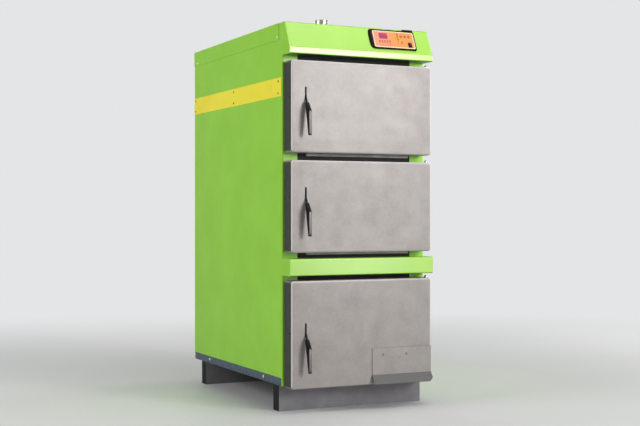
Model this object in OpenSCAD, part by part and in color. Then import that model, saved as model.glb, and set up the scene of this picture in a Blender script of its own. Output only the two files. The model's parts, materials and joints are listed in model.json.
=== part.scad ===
/* [Casing] */
// Width over the side panels
case_w = 600; // [560:1:680]
// Depth from the front sheet to the rear sheet
case_d = 951; // [860:1:1100]
// Thickness of the green casing sheet
sheet_t = 1.5; // [1:0.1:2.5]
// Width of the flange that each side panel folds in at the front
flange_w = 62; // [56:1:70]
// Outer radius of a folded panel edge
fold_r = 5; // [3:0.5:8]
// Height of the flap that hangs from the top cover at each side
flap_h = 62; // [40:1:90]
// Distance from the front sheet to the front end of that flap
flap_set = 28; // [15:1:60]
// Height of the zinc-plated strip left bare under each side panel
strip_h = 30; // [20:1:40]
// Height of the yellow band
band_h = 70; // [40:1:90]
// Distance from the top cover down to the yellow band
band_drop = 202; // [150:1:260]
// Thickness of the yellow band
band_t = 1; // [0.6:0.1:2]

/* [Hood and bar] */
// Reach of the hood in front of the front sheet
hood_reach = 68.7; // [64:0.1:74]
// Reach of the upper edge of the hood's slope
hood_top_reach = 24.5; // [15:0.5:40]
// Height of the slope
slope_h = 98; // [90:1:120]
// Height of the upright lip under the slope
lip_h = 24; // [15:1:40]
// Height of the bar between the middle and the lower door
bar_h = 63.5; // [40:0.5:90]
// Reach of the bar
bar_reach = 72.7; // [66:0.1:80]

/* [Doors] */
// Height of the upper door
door_up_h = 338; // [320:1:400]
// Height of the middle door
door_mid_h = 339; // [320:1:400]
// Height of the lower door
door_low_h = 395; // [370:1:450]
// Gap between the upper door and the hood
gap_top = 22; // [20:0.5:30]
// Gap between the upper and the middle door
gap_up = 27.5; // [22:0.5:35]
// Gap between the middle door and the bar
gap_mid = 21; // [18:0.5:30]
// Gap between the bar and the lower door
gap_low = 17.5; // [15:0.5:25]
// How far the lower door hangs below the casing
door_drop = 5; // [0:0.5:10]
// Set-back of a door's sides from the casing's sides
door_inset = 6.2; // [4:0.1:10]
// Depth of a door's folded sides
door_depth = 61.6; // [58:0.1:66]
// Gap between a door's sides and the front sheet
door_gap = 8; // [7.8:0.1:10]
// Thickness of the door sheet
door_t = 2; // [1.5:0.1:3]
// Radius of a door's four corners
door_corner_r = 11; // [8:0.5:16]
// Radius along a door's front edges
door_edge_r = 7; // [4:0.5:10]

/* [Latches and hinges] */
// Height of a latch's pivot over the door's lower edge
latch_up = 203; // [180:1:220]
// Distance from the casing's side to the latch lever
latch_in = 64.5; // [58:0.5:70]
// Depth of the latch's pivot behind the door's face
latch_deep = 14.6; // [13:0.1:16]
// Thickness of the latch lever
lever_t = 5; // [4:0.5:6]
// Length of the black grip, measured upright
grip_h = 122; // [100:1:140]
// Stand-off of the grip's front at its top end
grip_near = 16; // [14:0.5:20]
// Stand-off of the grip's front at its lower end
grip_far = 40; // [35:1:55]
// Distance from the casing's side to the hinge axis
hinge_in = 17; // [16:0.5:18]
// Distance from the front sheet to the hinge axis
hinge_out = 48; // [46:0.5:50]
// Radius of a hinge pin
pin_r = 6; // [5:0.5:7]
// Radial play of a pin in its lug
pin_play = 0.06; // [0.02:0.01:0.1]

/* [Air flap] */
// Distance from the centre line to the flap's left edge
air_left = 38; // [20:1:60]
// Width of the flap
air_w = 253; // [220:1:254]
// Height of the flap's flat part
air_h = 99; // [90:1:120]
// Height of the flap's top edge over the lower door's edge
air_up = 135.5; // [128:0.5:150]
// Thickness of the flap
air_t = 3; // [2:0.5:4]
// Width of the lip that folds out at the flap's foot
air_lip = 41; // [25:1:45]
// Fall of that lip below level
air_lip_fall = 53; // [35:1:65]

/* [Boiler body] */
// Distance from the casing's side to a door's throat and the fire chamber
throat_in = 120; // [112:1:140]
// Distance from the casing's side to the water jacket
jacket_in = 55; // [50:1:62]
// Distance from the rear sheet to the back of the water jacket
jacket_rear = 91; // [80:1:110]
// Thickness of a jacket plate
jacket_t = 4; // [3:0.5:6]
// Thickness of a chamber plate
chamber_t = 5; // [4:0.5:8]
// Distance from the back of the water jacket to the fire chamber
chamber_rear = 102; // [90:1:120]
// Height of the grate's upper face over the legs
grate_up = 449; // [435:1:464]
// Outer radius of the flue outlet
flue_r = 80; // [65:1:85]
// Reach of the flue outlet behind the rear sheet
flue_reach = 105; // [100:1:130]
// Distance from the fire chamber's top down to the flue outlet
flue_under = 10.5; // [9:0.5:14]
// Outer radius of a water pipe
pipe_r = 24.15; // [20:0.05:30]
// Outer radius of a threaded socket
socket_r = 27.5; // [26:0.5:33]
// Bore radius of a threaded socket
socket_bore_r = 22.4; // [18:0.1:22.4]
// Height of the supply socket's end over the top cover
supply_up = 67; // [50:1:90]
// Distance from the front sheet to the supply pipe
supply_y = 288; // [200:1:400]

/* [Legs] */
// Height of the legs
leg_h = 96; // [60:1:140]
// Depth of a leg
leg_d = 52.5; // [40:0.5:80]
// Set-back of the front leg from the front sheet
leg_front = 27.5; // [20:0.5:60]
// Set-back of the rear leg from the rear sheet
leg_rear = 91; // [60:1:140]
// Thickness of the leg steel
leg_t = 3; // [2:0.5:5]

/* [Controller] */
// Width of the controller housing
ctrl_w = 191; // [180:1:200]
// Height of the controller housing along the slope
ctrl_h = 84; // [80:1:92]
// Distance from the centre line to the controller's middle
ctrl_x = 139; // [120:1:160]
// Distance from the slope's upper edge to the controller's middle
ctrl_down = 53; // [50:0.5:56]
// How far the housing stands off the slope
ctrl_proud = 8; // [7:0.5:16]
// Travel of a key
key_travel = 1; // [0.6:0.1:1.5]

/* [Hidden] */
$fn = 48;

// Straight steps that a small rounding and a door's edge are made of
arc_steps = 6;
edge_steps = 3;
// Share of a door's inner margin that its corners shrink by
corner_share = 0.6;

// One overrun serves every cut
over = 1;
// Clearance of parts that pass through a cut sheet
slip = 1;
// Gap left between two plates that a weld joins
root_gap = 0.3;
// Facing gap between pieces that only rest against each other
rest_gap = 0.3;

// Heights of the front, from the floor up
low_z0 = leg_h - door_drop;
low_z1 = low_z0 + door_low_h;
bar_z0 = low_z1 + gap_low;
bar_z1 = bar_z0 + bar_h;
mid_z0 = bar_z1 + gap_mid;
mid_z1 = mid_z0 + door_mid_h;
up_z0 = mid_z1 + gap_up;
up_z1 = up_z0 + door_up_h;
lip_z = up_z1 + gap_top;
crease_z = lip_z + lip_h;
top_z = crease_z + slope_h;
side_z0 = leg_h + strip_h;
band_z1 = top_z - band_drop;
band_z0 = band_z1 - band_h;

// Door numbers: 0 upper, 1 middle, 2 lower
door_z0 = [up_z0, mid_z0, low_z0];
door_z1 = [up_z1, mid_z1, low_z1];
doors = [0, 1, 2];
door_y0 = -(door_gap + door_depth);
door_x = case_w / 2 - door_inset;

// The origin is the middle of the footprint, from the grips to the flue's end
front_reach = -door_y0 + grip_far;
mid_y = (case_d + flue_reach - front_reach) / 2;

// Casing details
panel_lap = 10;
ear_r = 6;
rail_foot = 48;
rail_t = 2;
rail_h = 55;
cover_lift = 0.2;
half_in = case_w / 2 - sheet_t;
screw_head_r = 6;
screw_head_h = 3;
screw_r = 2.4;
screw_l = 9;
cover_screw_up = 10;
cover_screw_front = 37;
cover_screw_rear = 41;
rail_screw_front = 178;
rail_screw_rear = 185;
rail_screw_up = 16;
rivet_r = 4;
rivet_h = 1.6;
rivet_in = 12.5;
rivet_end = 33;
rivet_rear = 15;
hood_back = 24;
hood_bend_r = 12;

// Body details
plate_t = 5;
plate_y0 = 2 * sheet_t;
plate_y1 = plate_y0 + plate_t;
plate_side = 10;
jacket_y1 = case_d - jacket_rear;
jacket_out = case_w / 2 - jacket_in;
jacket_top_set = 62;
jacket_z1 = top_z - jacket_top_set;
chamber_y1 = jacket_y1 - chamber_rear;
chamber_in = case_w / 2 - throat_in;
chamber_up = 12;
chamber_z0 = leg_h + chamber_up;
chamber_top_set = 151;
grate_z = leg_h + grate_up;
chamber_z1 = top_z - chamber_top_set;
flue_z = chamber_z1 - flue_under - flue_r;
ring_front = 7.3;
ring_left = 95;
ring_right = 72;
ring_bar = 33;
sill_drop = 9;
ring_head = 20;
ring_foot = 2;
ring_z0 = [up_z0 - sill_drop, mid_z0 - sill_drop, leg_h + ring_foot];
ring_z1 = [for (i = doors) door_z1[i] - ring_head];
throat_z0 = [for (i = doors) ring_z0[i] + ring_bar];
throat_z1 = [for (i = doors) ring_z1[i] - ring_bar];
ring_x0 = ring_left - case_w / 2;
ring_x1 = case_w / 2 - ring_right;
rib_t = 4;
rib_h = 5;

// Seal, liner and wool of a door, measured outward from the throat and from the front sheet
rope_in = 4;
rope_w = 10;
rope_t = 12;
liner_t = 2.5;
liner_lap = 2;
rib_y = -(ring_front + rib_h);
rope_y1 = rib_y - rest_gap;
rope_y0 = rope_y1 - rope_t;
liner_y0 = rope_y0 - liner_t;
liner_out = rope_in + rope_w + liner_lap;
skin_y = door_y0 + door_t;

// Hinges
hinge_x = case_w / 2 - hinge_in;
hinge_y = -hinge_out;
lug_r = 9;
lug_t = 8;
head_r = 8;
head_h = 9;
lug_slot_front = 6;

// Latches
latch_x = latch_in - case_w / 2;
latch_y = door_y0 + latch_deep;
latch_z = [for (i = doors) door_z0[i] + latch_up];
latch_pin_r = 4;
boss_r = 9;
boss_l = 14;
arm_h = 10;
arm_out = 1;
slot_up = 37;
slot_down = 13;
slot_w = 7;
grip_top_drop = 20;
grip_back = 5;
grip_slope = 30;
grip_lean = 1;
hook_reach = 44;
hook_top = -3.8;
hook_low = -12;
nose_t = 6.5;
nose_top = 2.2;
roller_r = 8;
roller_pin_r = 5;
roller_y = 28;
roller_z = 11;
roller_l = 20;
cheek_t = 6;
cheek_h = 24;
cheek_front = 3;
tang_wall = 2;
tang_in = 80;
tang_low_set = 7;
tang_low_w = 6;
grip_w = 12;
grip_low_d = 7;
grip_radii = [2, 4, 6, 2, 2];
bracket_t = 4;
bracket_gap = 4;
bracket_h = 30;

// Air flap and its duct
air_z1 = low_z0 + air_up;
air_z0 = air_z1 - air_h;
air_x1 = air_left + air_w;
air_pivot_up = 2.5;
air_pivot_deep = 9.6;
air_ear_t = 4;
air_ear_r = 4;
air_pin_r = 2.5;
air_ear_gap = 100;
air_ear_in = 45;
air_ear_drop = 25;
air_chamfer = 15;
chain_r = 3;
chain_in = 11;
chain_down = 16;
duct_w = 84;
duct_h = 50;
duct_drop = 42;
duct_t = 1.5;
air_ear_top = 10;
air_bearing_t = 3;
air_bearing_h = 10;
air_slot_low = 28;
air_slot_set = 2.6;

// Controller
slope_a = atan((hood_reach - hood_top_reach) / slope_h);
ctrl_r = 9;
ctrl_wall = 2;
ctrl_deep = 24;
ctrl_set = 8;
case_x = -2.5;
case_y = 2;
case_core_w = ctrl_w - 2 * ctrl_set;
case_core_h = ctrl_h - 2 * ctrl_set;
face_w = 176;
face_h = 72;
face_x = 1;
face_t = 2;
face_r = 5;
window_w = 33;
window_h = 22;
window_x = -43;
window_y = 14;
window_t = 1;
key_r = 4.2;
key_play = 0.3;
key_up = 16;
key_pitch = 17;
key_x0 = 34;
key_h = 3;
key_flange = 1.4;
key_flange_t = 1.2;
key_stem_r = 1.6;
rocker_x = 67;
rocker_y = -20;
rocker_w = 15;
rocker_h = 20;
rocker_d = 9;
rocker_tilt = 7;
rocker_play = 0.6;
rocker_pin_r = 1.2;
rocker_pin_play = 0.06;
board_t = 1.6;
board_deep = 8;
hook_w = 44;
hook_h = 7;
hook_out = 5;
hook_x = 66;

// Chamber furniture
ledge_w = 16;
ledge_t = 6;
grate_t = 25;
grate_frame = 24;
grate_bars = 9;
grate_bar_w = 14;
brick_t = 30;
brick_h = 230;
pan_side = 20;
pan_w = 2 * (chamber_in - pan_side);
pan_d = 540;
pan_h = 100;
pan_t = 2;
pan_y0 = 45;
pan_handle_r = 5;
pan_handle_w = 120;
pan_handle_out = 26;
pan_handle_drop = 30;
shelf_h = 30;
shelf_wall = 4;
shelf_rise = 74;
shelf_up = 134;
shelf_gap = 148;
shelf_front = 50;
flue_t = 3;
spigot_step = 1;
spigot_set = 14;
damper_t = 2;
damper_play = 3;
damper_pin_r = 5;
damper_knob = 46;
damper_handle = 60;
damper_tail = 18;
damper_y = 26;
socket_l = 36;
pipe_bore_r = 20.5;
return_x = -120;
return_up = 94;
return_z = leg_h + return_up;
return_reach = 40;
drain_x = 152;
drain_up = 56;
drain_z = leg_h + drain_up;
drain_r = 13.5;
drain_bore_r = 9.3;
wool_set = 6.2;

// A box between two corners
module block(a, b) { translate(a) cube(b - a); }

// Everything is drawn from the casing's front sheet and put on the common origin here
module seat() { translate([0, -mid_y, 0]) children(); }

module rod_x(x0, x1, y, z, r) {
    translate([x0, y, z]) rotate([0, 90, 0]) cylinder(h = x1 - x0, r = r);
}
module rod_y(y0, y1, x, z, r) {
    translate([x, y1, z]) rotate([90, 0, 0]) cylinder(h = y1 - y0, r = r);
}
module rod_z(z0, z1, x, y, r) { translate([x, y, z0]) cylinder(h = z1 - z0, r = r); }

// Draws a flat outline of [y, z] points along X
module along_x(x0, x1) {
    translate([x0, 0, 0]) rotate([90, 0, 90]) linear_extrude(x1 - x0) children();
}

// The corner points of an outline with each corner rounded to its own radius
function unit(v) = v / norm(v);
function corner(a, b, c, r) = r == 0 ? [b] :
    let (u = unit(a - b), w = unit(c - b), half = acos(u * w) / 2, side = r / tan(half),
        mid = b + unit(u + w) * r / sin(half), p = b + u * side - mid, q = b + w * side - mid,
        turn = 180 - 2 * half, way = sign(p[0] * q[1] - p[1] * q[0]))
    [for (k = [0 : arc_steps]) let (t = way * turn * k / arc_steps)
        mid + [p[0] * cos(t) - p[1] * sin(t), p[0] * sin(t) + p[1] * cos(t)]];
function rounded(pts, radii) = let (n = len(pts)) [for (i = [0 : n - 1])
    each corner(pts[(i + n - 1) % n], pts[i], pts[(i + 1) % n], radii[i])];

// A rectangle with rounded corners, drawn around the middle
module pad(w, h, r) {
    polygon(rounded([[-w / 2, -h / 2], [w / 2, -h / 2], [w / 2, h / 2], [-w / 2, h / 2]], [r, r, r, r]));
}

// Places of the fasteners on the left side, as [y, z]
cover_screw_spots = [for (y = [cover_screw_front, case_d - cover_screw_rear])
    [y, top_z - flap_h + cover_screw_up]];
rail_screw_spots = [for (y = [rail_screw_front, case_d - rail_screw_rear])
    [y, leg_h + rail_screw_up]];
rivet_spots = [for (y = [rivet_end, (case_d + rivet_rear) / 2, case_d - rivet_rear],
    z = [band_z0 + rivet_in, band_z1 - rivet_in]) [y, z]];

// Holes through both side panels at the given spots
module side_holes(spots, r) {
    for (s = spots) rod_x(-case_w, case_w, s[0], s[1], r);
}

module leg(y0) {
    difference() {
        block([-case_w / 2, y0, 0], [case_w / 2, y0 + leg_d, leg_h]);
        block([-case_w / 2 + leg_t, y0 + leg_t, -over],
            [case_w / 2 - leg_t, y0 + leg_d - leg_t, leg_h - leg_t]);
    }
}

module front_leg() { color("#6E6E70") seat() leg(leg_front); }
module rear_leg() { color("#6E6E70") seat() leg(case_d - leg_rear - leg_d); }

// Angle rails on the legs: their upright faces show as the bare strip under the side panels
module base_rails() {
    color("#66708A") seat() difference() {
        for (m = [0, 1]) mirror([m, 0, 0]) {
            block([half_in - rail_t, fold_r, leg_h], [half_in, case_d - sheet_t, leg_h + rail_h]);
            block([half_in - rail_foot, plate_y1, leg_h], [half_in, case_d - sheet_t, leg_h + rail_t]);
        }
        side_holes(rail_screw_spots, screw_r);
    }
}

// The panel's outline with its two ears: the hood's cheek and the bar's cheek
function side_outline() = rounded([[case_d, side_z0], [case_d, top_z - sheet_t - cover_lift],
    [-hood_top_reach, top_z - sheet_t - cover_lift], [-hood_reach, crease_z],
    [-hood_reach, lip_z], [fold_r, lip_z], [fold_r, bar_z1], [-bar_reach, bar_z1],
    [-bar_reach, bar_z0], [fold_r, bar_z0], [fold_r, side_z0]],
    [0, 0, ear_r, ear_r, 0, 0, 0, ear_r, ear_r, 0, 0]);

module folded_edge(z0, z1) {
    translate([0, 0, z0]) linear_extrude(z1 - z0) polygon(concat(
        rounded([[case_w / 2, fold_r], [case_w / 2, 0], [case_w / 2 - flange_w, 0]], [0, fold_r, 0]),
        rounded([[case_w / 2 - flange_w, sheet_t], [half_in, sheet_t], [half_in, fold_r]],
            [0, fold_r - sheet_t, 0])));
}

module lug_slots() {
    for (i = doors, z = lug_z(i))
        block([hinge_x - lug_r - slip, -over, z - slip],
            [hinge_x + lug_r, 2 * sheet_t + over, z + lug_t + slip]);
}

module side_panel() {
    difference() {
        union() {
            along_x(half_in, case_w / 2) polygon(side_outline());
            folded_edge(leg_h, bar_z0);
            folded_edge(bar_z1, lip_z);
        }
        side_holes(cover_screw_spots, screw_r);
        side_holes(rivet_spots, screw_r);
    }
}

module side_panel_left() { color("#8EC64D") seat() mirror([1, 0, 0]) side_panel(); }
module side_panel_right() {
    color("#8EC64D") seat() difference() {
        side_panel();
        lug_slots();
    }
}

module rear_panel() {
    color("#8EC64D") seat() difference() {
        block([-half_in, case_d - sheet_t, leg_h + rail_t],
            [half_in, case_d, top_z - sheet_t - cover_lift]);
        rod_y(jacket_y1, case_d + over, 0, flue_z, flue_r + slip);
        rod_y(jacket_y1, case_d + over, return_x, return_z, pipe_r + slip);
        rod_y(jacket_y1, case_d + over, drain_x, drain_z, drain_r + slip);
    }
}

// A lid with a flap at each side, lying over the side panels
module top_cover() {
    flap_x = case_w / 2 + cover_lift;
    color("#8EC64D") seat() difference() {
        block([-flap_x - sheet_t, flap_set, top_z - flap_h],
            [flap_x + sheet_t, case_d + sheet_t, top_z]);
        block([-flap_x, flap_set - over, top_z - flap_h - over],
            [flap_x, case_d + cover_lift, top_z - sheet_t]);
        rod_z(top_z - flap_h, top_z + over, 0, supply_y, pipe_r + slip);
        side_holes(cover_screw_spots, screw_r);
    }
}

// The hood's bent sheet: top, slope, lip and underside
function hood_outline(d) = rounded([[hood_back, top_z - d],
    [-hood_top_reach + d * tan(45 - slope_a / 2), top_z - d],
    [-hood_reach + d, crease_z - d * tan(slope_a / 2)],
    [-hood_reach + d, lip_z + d], [hood_back, lip_z + d]],
    [0, hood_bend_r - d, fold_r - d, fold_r - d, 0]);

module hood_panel() {
    color("#9CD45E") seat() difference() {
        along_x(-half_in, half_in) polygon(hood_outline(0));
        along_x(-case_w, case_w) polygon(hood_outline(sheet_t));
        block([-case_w, 0, lip_z - over], [case_w, hood_back + over, crease_z]);
        block([-case_w, flap_set - slip, lip_z], [case_w, case_w, top_z + over]);
        on_controller() translate([-case_core_w / 2 - slip, -case_core_h / 2 - slip, -ctrl_deep])
            cube([case_core_w + 2 * slip, case_core_h + 2 * slip, 2 * ctrl_deep]);
    }
}

module middle_bar() {
    color("#9CD45E") seat() difference() {
        along_x(-half_in, half_in) polygon(rounded([[0, bar_z0], [0, bar_z1], [-bar_reach, bar_z1],
            [-bar_reach, bar_z0]], [0, 0, fold_r, fold_r]));
        along_x(-case_w, case_w) polygon(rounded([[over, bar_z0 + sheet_t], [over, bar_z1 - sheet_t],
            [-bar_reach + sheet_t, bar_z1 - sheet_t], [-bar_reach + sheet_t, bar_z0 + sheet_t]],
            [0, 0, fold_r - sheet_t, fold_r - sheet_t]));
    }
}

// The sheet between the two flanges, cut out around the door frames
module front_panel() {
    edge = case_w / 2 - flange_w + panel_lap;
    color("#1E1E1D") seat() difference() {
        block([-edge, sheet_t, leg_h + ring_foot], [edge, 2 * sheet_t, crease_z]);
        for (i = doors) block([ring_x0 - slip, 0, ring_z0[i] - slip],
            [ring_x1 + slip, plate_y0 + over, ring_z1[i] + slip]);
    }
}

module side_bands() {
    color("#F4E23C") seat() difference() {
        for (m = [0, 1]) mirror([m, 0, 0])
            block([case_w / 2, fold_r, band_z0], [case_w / 2 + band_t, case_d + sheet_t, band_z1]);
        side_holes(rivet_spots, screw_r);
    }
}

// A pan head with its shank, drawn along -X from the surface at x
module screw(x, y, z) {
    translate([x, y, z]) rotate([0, 90, 0]) {
        rotate_extrude() polygon(concat([[0, 0], [screw_head_r, 0]],
            [for (k = [0 : arc_steps]) let (t = 90 * k / arc_steps)
                [screw_head_r * cos(t), screw_head_h / 3 + screw_head_h * 2 / 3 * sin(t)]]));
        translate([0, 0, -screw_l]) cylinder(h = screw_l, r = screw_r - pin_play);
    }
}

module casing_screws() {
    color("#E8E8E8") seat() for (m = [0, 1]) mirror([m, 0, 0]) {
        for (s = cover_screw_spots) screw(case_w / 2 + cover_lift + sheet_t, s[0], s[1]);
        for (s = rail_screw_spots) screw(half_in, s[0], s[1]);
    }
}

module band_rivets() {
    color("#3A3A38") seat() for (m = [0, 1], s = rivet_spots) mirror([m, 0, 0]) {
        rod_x(case_w / 2 + band_t, case_w / 2 + band_t + rivet_h, s[0], s[1], rivet_r);
        rod_x(case_w / 2 - screw_l / 2, case_w / 2 + band_t, s[0], s[1], screw_r - pin_play);
    }
}

module front_plate() {
    color("#4A4A4C") seat() difference() {
        block([-case_w / 2 + plate_side, plate_y0, leg_h + rail_t],
            [case_w / 2 - plate_side, plate_y1, jacket_z1]);
        for (i = doors)
            block([-chamber_in, 0, throat_z0[i]], [chamber_in, plate_y1 + over, throat_z1[i]]);
    }
}

// Side, top and bottom plates of the water jacket
module jacket_plates() {
    w = jacket_out;
    y0 = plate_y1;
    y1 = jacket_y1 - jacket_t - root_gap;
    color("#5A5A5C") seat() {
        block([-w, y0, leg_h + rail_t], [-w + jacket_t, y1, jacket_z1 - jacket_t - root_gap]);
        block([w - jacket_t, y0, leg_h + rail_t], [w, y1, jacket_z1 - jacket_t - root_gap]);
        block([-w + jacket_t + root_gap, y0, leg_h],
            [w - jacket_t - root_gap, y1, leg_h + jacket_t]);
        difference() {
            block([-w, y0, jacket_z1 - jacket_t], [w, y1, jacket_z1]);
            rod_z(jacket_z1 - jacket_t - over, jacket_z1 + over, 0, supply_y, pipe_bore_r);
        }
    }
}

module jacket_back() {
    color("#5A5A5C") seat() difference() {
        block([-jacket_out, jacket_y1 - jacket_t, leg_h], [jacket_out, jacket_y1, jacket_z1]);
        rod_y(jacket_y1 - jacket_t - over, jacket_y1 + over, 0, flue_z, flue_r - spigot_step);
        rod_y(jacket_y1 - jacket_t - over, jacket_y1 + over, return_x, return_z, pipe_bore_r);
        rod_y(jacket_y1 - jacket_t - over, jacket_y1 + over, drain_x, drain_z, drain_bore_r);
    }
}

shelf_z = [for (k = doors) grate_z + brick_h + shelf_up + k * shelf_rise];
shelf_y0 = [plate_y1 + shelf_gap, plate_y1 + shelf_front, plate_y1 + shelf_gap];
shelf_end = chamber_y1 - chamber_t - root_gap;
shelf_y1 = [shelf_end, chamber_y1 - shelf_gap, shelf_end];

// Side, top and floor plates of the fire chamber, with the ledges that carry the grate
module chamber_plates() {
    w = chamber_in + chamber_t;
    y1 = chamber_y1 - chamber_t - root_gap;
    color("#3E3A38") seat() {
        for (m = [0, 1]) mirror([m, 0, 0]) {
            difference() {
                block([chamber_in, plate_y1, chamber_z0], [w, y1, chamber_z1 - chamber_t - root_gap]);
                for (k = doors)
                    block([chamber_in - over, shelf_y0[k] + shelf_wall, shelf_z[k] + shelf_wall],
                    [w + over, shelf_y1[k] - shelf_wall, shelf_z[k] + shelf_h - shelf_wall]);
            }
            block([chamber_in - ledge_w, plate_y1 + ledge_w, grate_z - grate_t - ledge_t],
                [chamber_in - root_gap, y1 - ledge_w, grate_z - grate_t]);
        }
        block([-w, plate_y1, chamber_z1 - chamber_t], [w, y1, chamber_z1]);
        block([-chamber_in + root_gap, plate_y1, chamber_z0],
            [chamber_in - root_gap, y1, chamber_z0 + chamber_t]);
    }
}

module chamber_back() {
    w = chamber_in + chamber_t;
    color("#3E3A38") seat() difference() {
        block([-w, chamber_y1 - chamber_t, chamber_z0], [w, chamber_y1, chamber_z1]);
        rod_y(chamber_y1 - chamber_t - over, chamber_y1 + over, 0, flue_z, flue_r - flue_t);
    }
}

// Four flat bars and four sealing ribs around each throat
module door_frame(i) {
    x0 = ring_x0;
    x1 = ring_x1;
    z0 = ring_z0[i];
    z1 = ring_z1[i];
    g = root_gap;
    r0 = rope_in + (rope_w - rib_t) / 2;
    block([x0, -ring_front, z0], [-chamber_in, plate_y0, z1]);
    block([chamber_in, -ring_front, z0], [x1, plate_y0, z1]);
    block([-chamber_in + g, -ring_front, z0], [chamber_in - g, plate_y0, throat_z0[i]]);
    block([-chamber_in + g, -ring_front, throat_z1[i]], [chamber_in - g, plate_y0, z1]);
    for (m = [0, 1]) mirror([m, 0, 0])
        block([chamber_in + r0, rib_y, throat_z0[i] - r0 - rib_t],
            [chamber_in + r0 + rib_t, -ring_front, throat_z1[i] + r0 + rib_t]);
    for (z = [throat_z0[i] - r0 - rib_t, throat_z1[i] + r0])
        block([-chamber_in - r0 + g, rib_y, z], [chamber_in + r0 - g, -ring_front, z + rib_t]);
}

module door_frames() { color("#8C8C8C") seat() for (i = doors) door_frame(i); }

// Lower faces of a door's two lugs
function lug_z(i) = [door_z0[i] + door_t + rest_gap, door_z1[i] - door_t - rest_gap - lug_t];

module hinge_lugs() {
    color("#1C1C1E") seat() for (i = doors, z = lug_z(i)) difference() {
        union() {
            block([hinge_x - lug_r, hinge_y, z], [hinge_x + lug_r - slip, plate_y0, z + lug_t]);
            rod_z(z, z + lug_t, hinge_x, hinge_y, lug_r);
        }
        rod_z(z - over, z + lug_t + over, hinge_x, hinge_y, pin_r + pin_play);
    }
}

// A cheek on the frame carries the roller that the latch hooks behind
module latch_strikers() {
    color("#9A9A98") seat() for (i = doors) {
        z = latch_z[i] + roller_z;
        y = latch_y + roller_y;
        block([ring_x0, y - roller_r - cheek_front, z - cheek_h / 2],
            [ring_x0 + cheek_t, -ring_front, z + cheek_h / 2]);
        rod_x(latch_x - roller_l / 2, latch_x + roller_l / 2, y, z, roller_r);
        rod_x(latch_x, ring_x0, y, z, roller_pin_r);
    }
}

module grate() {
    w = chamber_in - root_gap;
    y0 = plate_y1 + ledge_w;
    y1 = chamber_y1 - chamber_t - ledge_w;
    step = (2 * w - 2 * grate_frame) / (grate_bars + 1);
    color("#3A3634") seat() {
        for (y = [y0, y1 - grate_frame]) block([-w, y, grate_z - grate_t], [w, y + grate_frame, grate_z]);
        for (m = [0, 1]) mirror([m, 0, 0])
            block([w - grate_frame, y0, grate_z - grate_t], [w, y1, grate_z]);
        for (k = [1 : grate_bars]) translate([-w + grate_frame + k * step - grate_bar_w / 2, 0, 0])
            block([0, y0, grate_z - grate_t], [grate_bar_w, y1, grate_z]);
    }
}

module firebricks() {
    y0 = plate_y1 + ledge_w;
    y1 = chamber_y1 - chamber_t - ledge_w;
    color("#C9A878") seat() {
        for (m = [0, 1]) mirror([m, 0, 0])
            block([chamber_in - brick_t, y0, grate_z],
                [chamber_in - root_gap, y1 - brick_t - root_gap, grate_z + brick_h]);
        block([-chamber_in + root_gap, y1 - brick_t, grate_z],
            [chamber_in - root_gap, y1, grate_z + brick_h]);
    }
}

module ash_pan() {
    z0 = chamber_z0 + chamber_t;
    hz = z0 + pan_h - pan_handle_drop;
    color("#77777A") seat() {
        difference() {
            block([-pan_w / 2, pan_y0, z0], [pan_w / 2, pan_y0 + pan_d, z0 + pan_h]);
            block([-pan_w / 2 + pan_t, pan_y0 + pan_t, z0 + pan_t],
                [pan_w / 2 - pan_t, pan_y0 + pan_d - pan_t, z0 + pan_h + over]);
        }
        rod_x(-pan_handle_w / 2, pan_handle_w / 2, pan_y0 - pan_handle_out, hz, pan_handle_r);
        for (m = [0, 1]) mirror([m, 0, 0]) rod_y(pan_y0 - pan_handle_out, pan_y0,
            pan_handle_w / 2 - pan_handle_r, hz, pan_handle_r);
    }
}

// Flat water ways that the smoke passes between on its way to the flue
module exchanger_shelves() {
    color("#4E4A46") seat() for (k = doors) difference() {
        block([-chamber_in + root_gap, shelf_y0[k], shelf_z[k]],
            [chamber_in - root_gap, shelf_y1[k], shelf_z[k] + shelf_h]);
        block([-chamber_in, shelf_y0[k] + shelf_wall, shelf_z[k] + shelf_wall],
            [chamber_in, shelf_y1[k] - shelf_wall, shelf_z[k] + shelf_h - shelf_wall]);
    }
}

// Wool boards between the jacket and the casing
module insulation() {
    x0 = jacket_out + rest_gap;
    x1 = half_in - wool_set;
    z0 = leg_h + rail_h + slip;
    z1 = top_z - sheet_t - cover_lift - rest_gap;
    color("#D9C27A") seat() {
        for (m = [0, 1]) mirror([m, 0, 0]) block([x0, plate_y1, z0], [x1, jacket_y1, z1]);
        difference() {
            block([-jacket_out, plate_y1 + flap_set, jacket_z1 + rest_gap],
                [jacket_out, jacket_y1, z1]);
            rod_z(jacket_z1, top_z, 0, supply_y, socket_r + slip);
        }
        difference() {
            block([-x1, jacket_y1 + rest_gap, z0], [x1, case_d - sheet_t - rest_gap, z1]);
            rod_y(jacket_y1, case_d, 0, flue_z, flue_r + slip);
            rod_y(jacket_y1, case_d, return_x, return_z, pipe_r + slip);
            rod_y(jacket_y1, case_d, drain_x, drain_z, drain_r + slip);
        }
    }
}

// A tube from the fire chamber with a wider spigot on its end for the chimney connector
module flue_outlet() {
    y0 = chamber_y1;
    y1 = case_d + flue_reach;
    color("#6A6A6C") seat() difference() {
        union() {
            rod_y(y0, y1, 0, flue_z, flue_r - spigot_step);
            rod_y(case_d + damper_y + spigot_set, y1, 0, flue_z, flue_r);
        }
        rod_y(y0 - over, y1 + over, 0, flue_z, flue_r - flue_t);
        rod_z(flue_z - flue_r - over, flue_z + flue_r + over, 0, case_d + damper_y,
            damper_pin_r + pin_play);
    }
}

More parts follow.
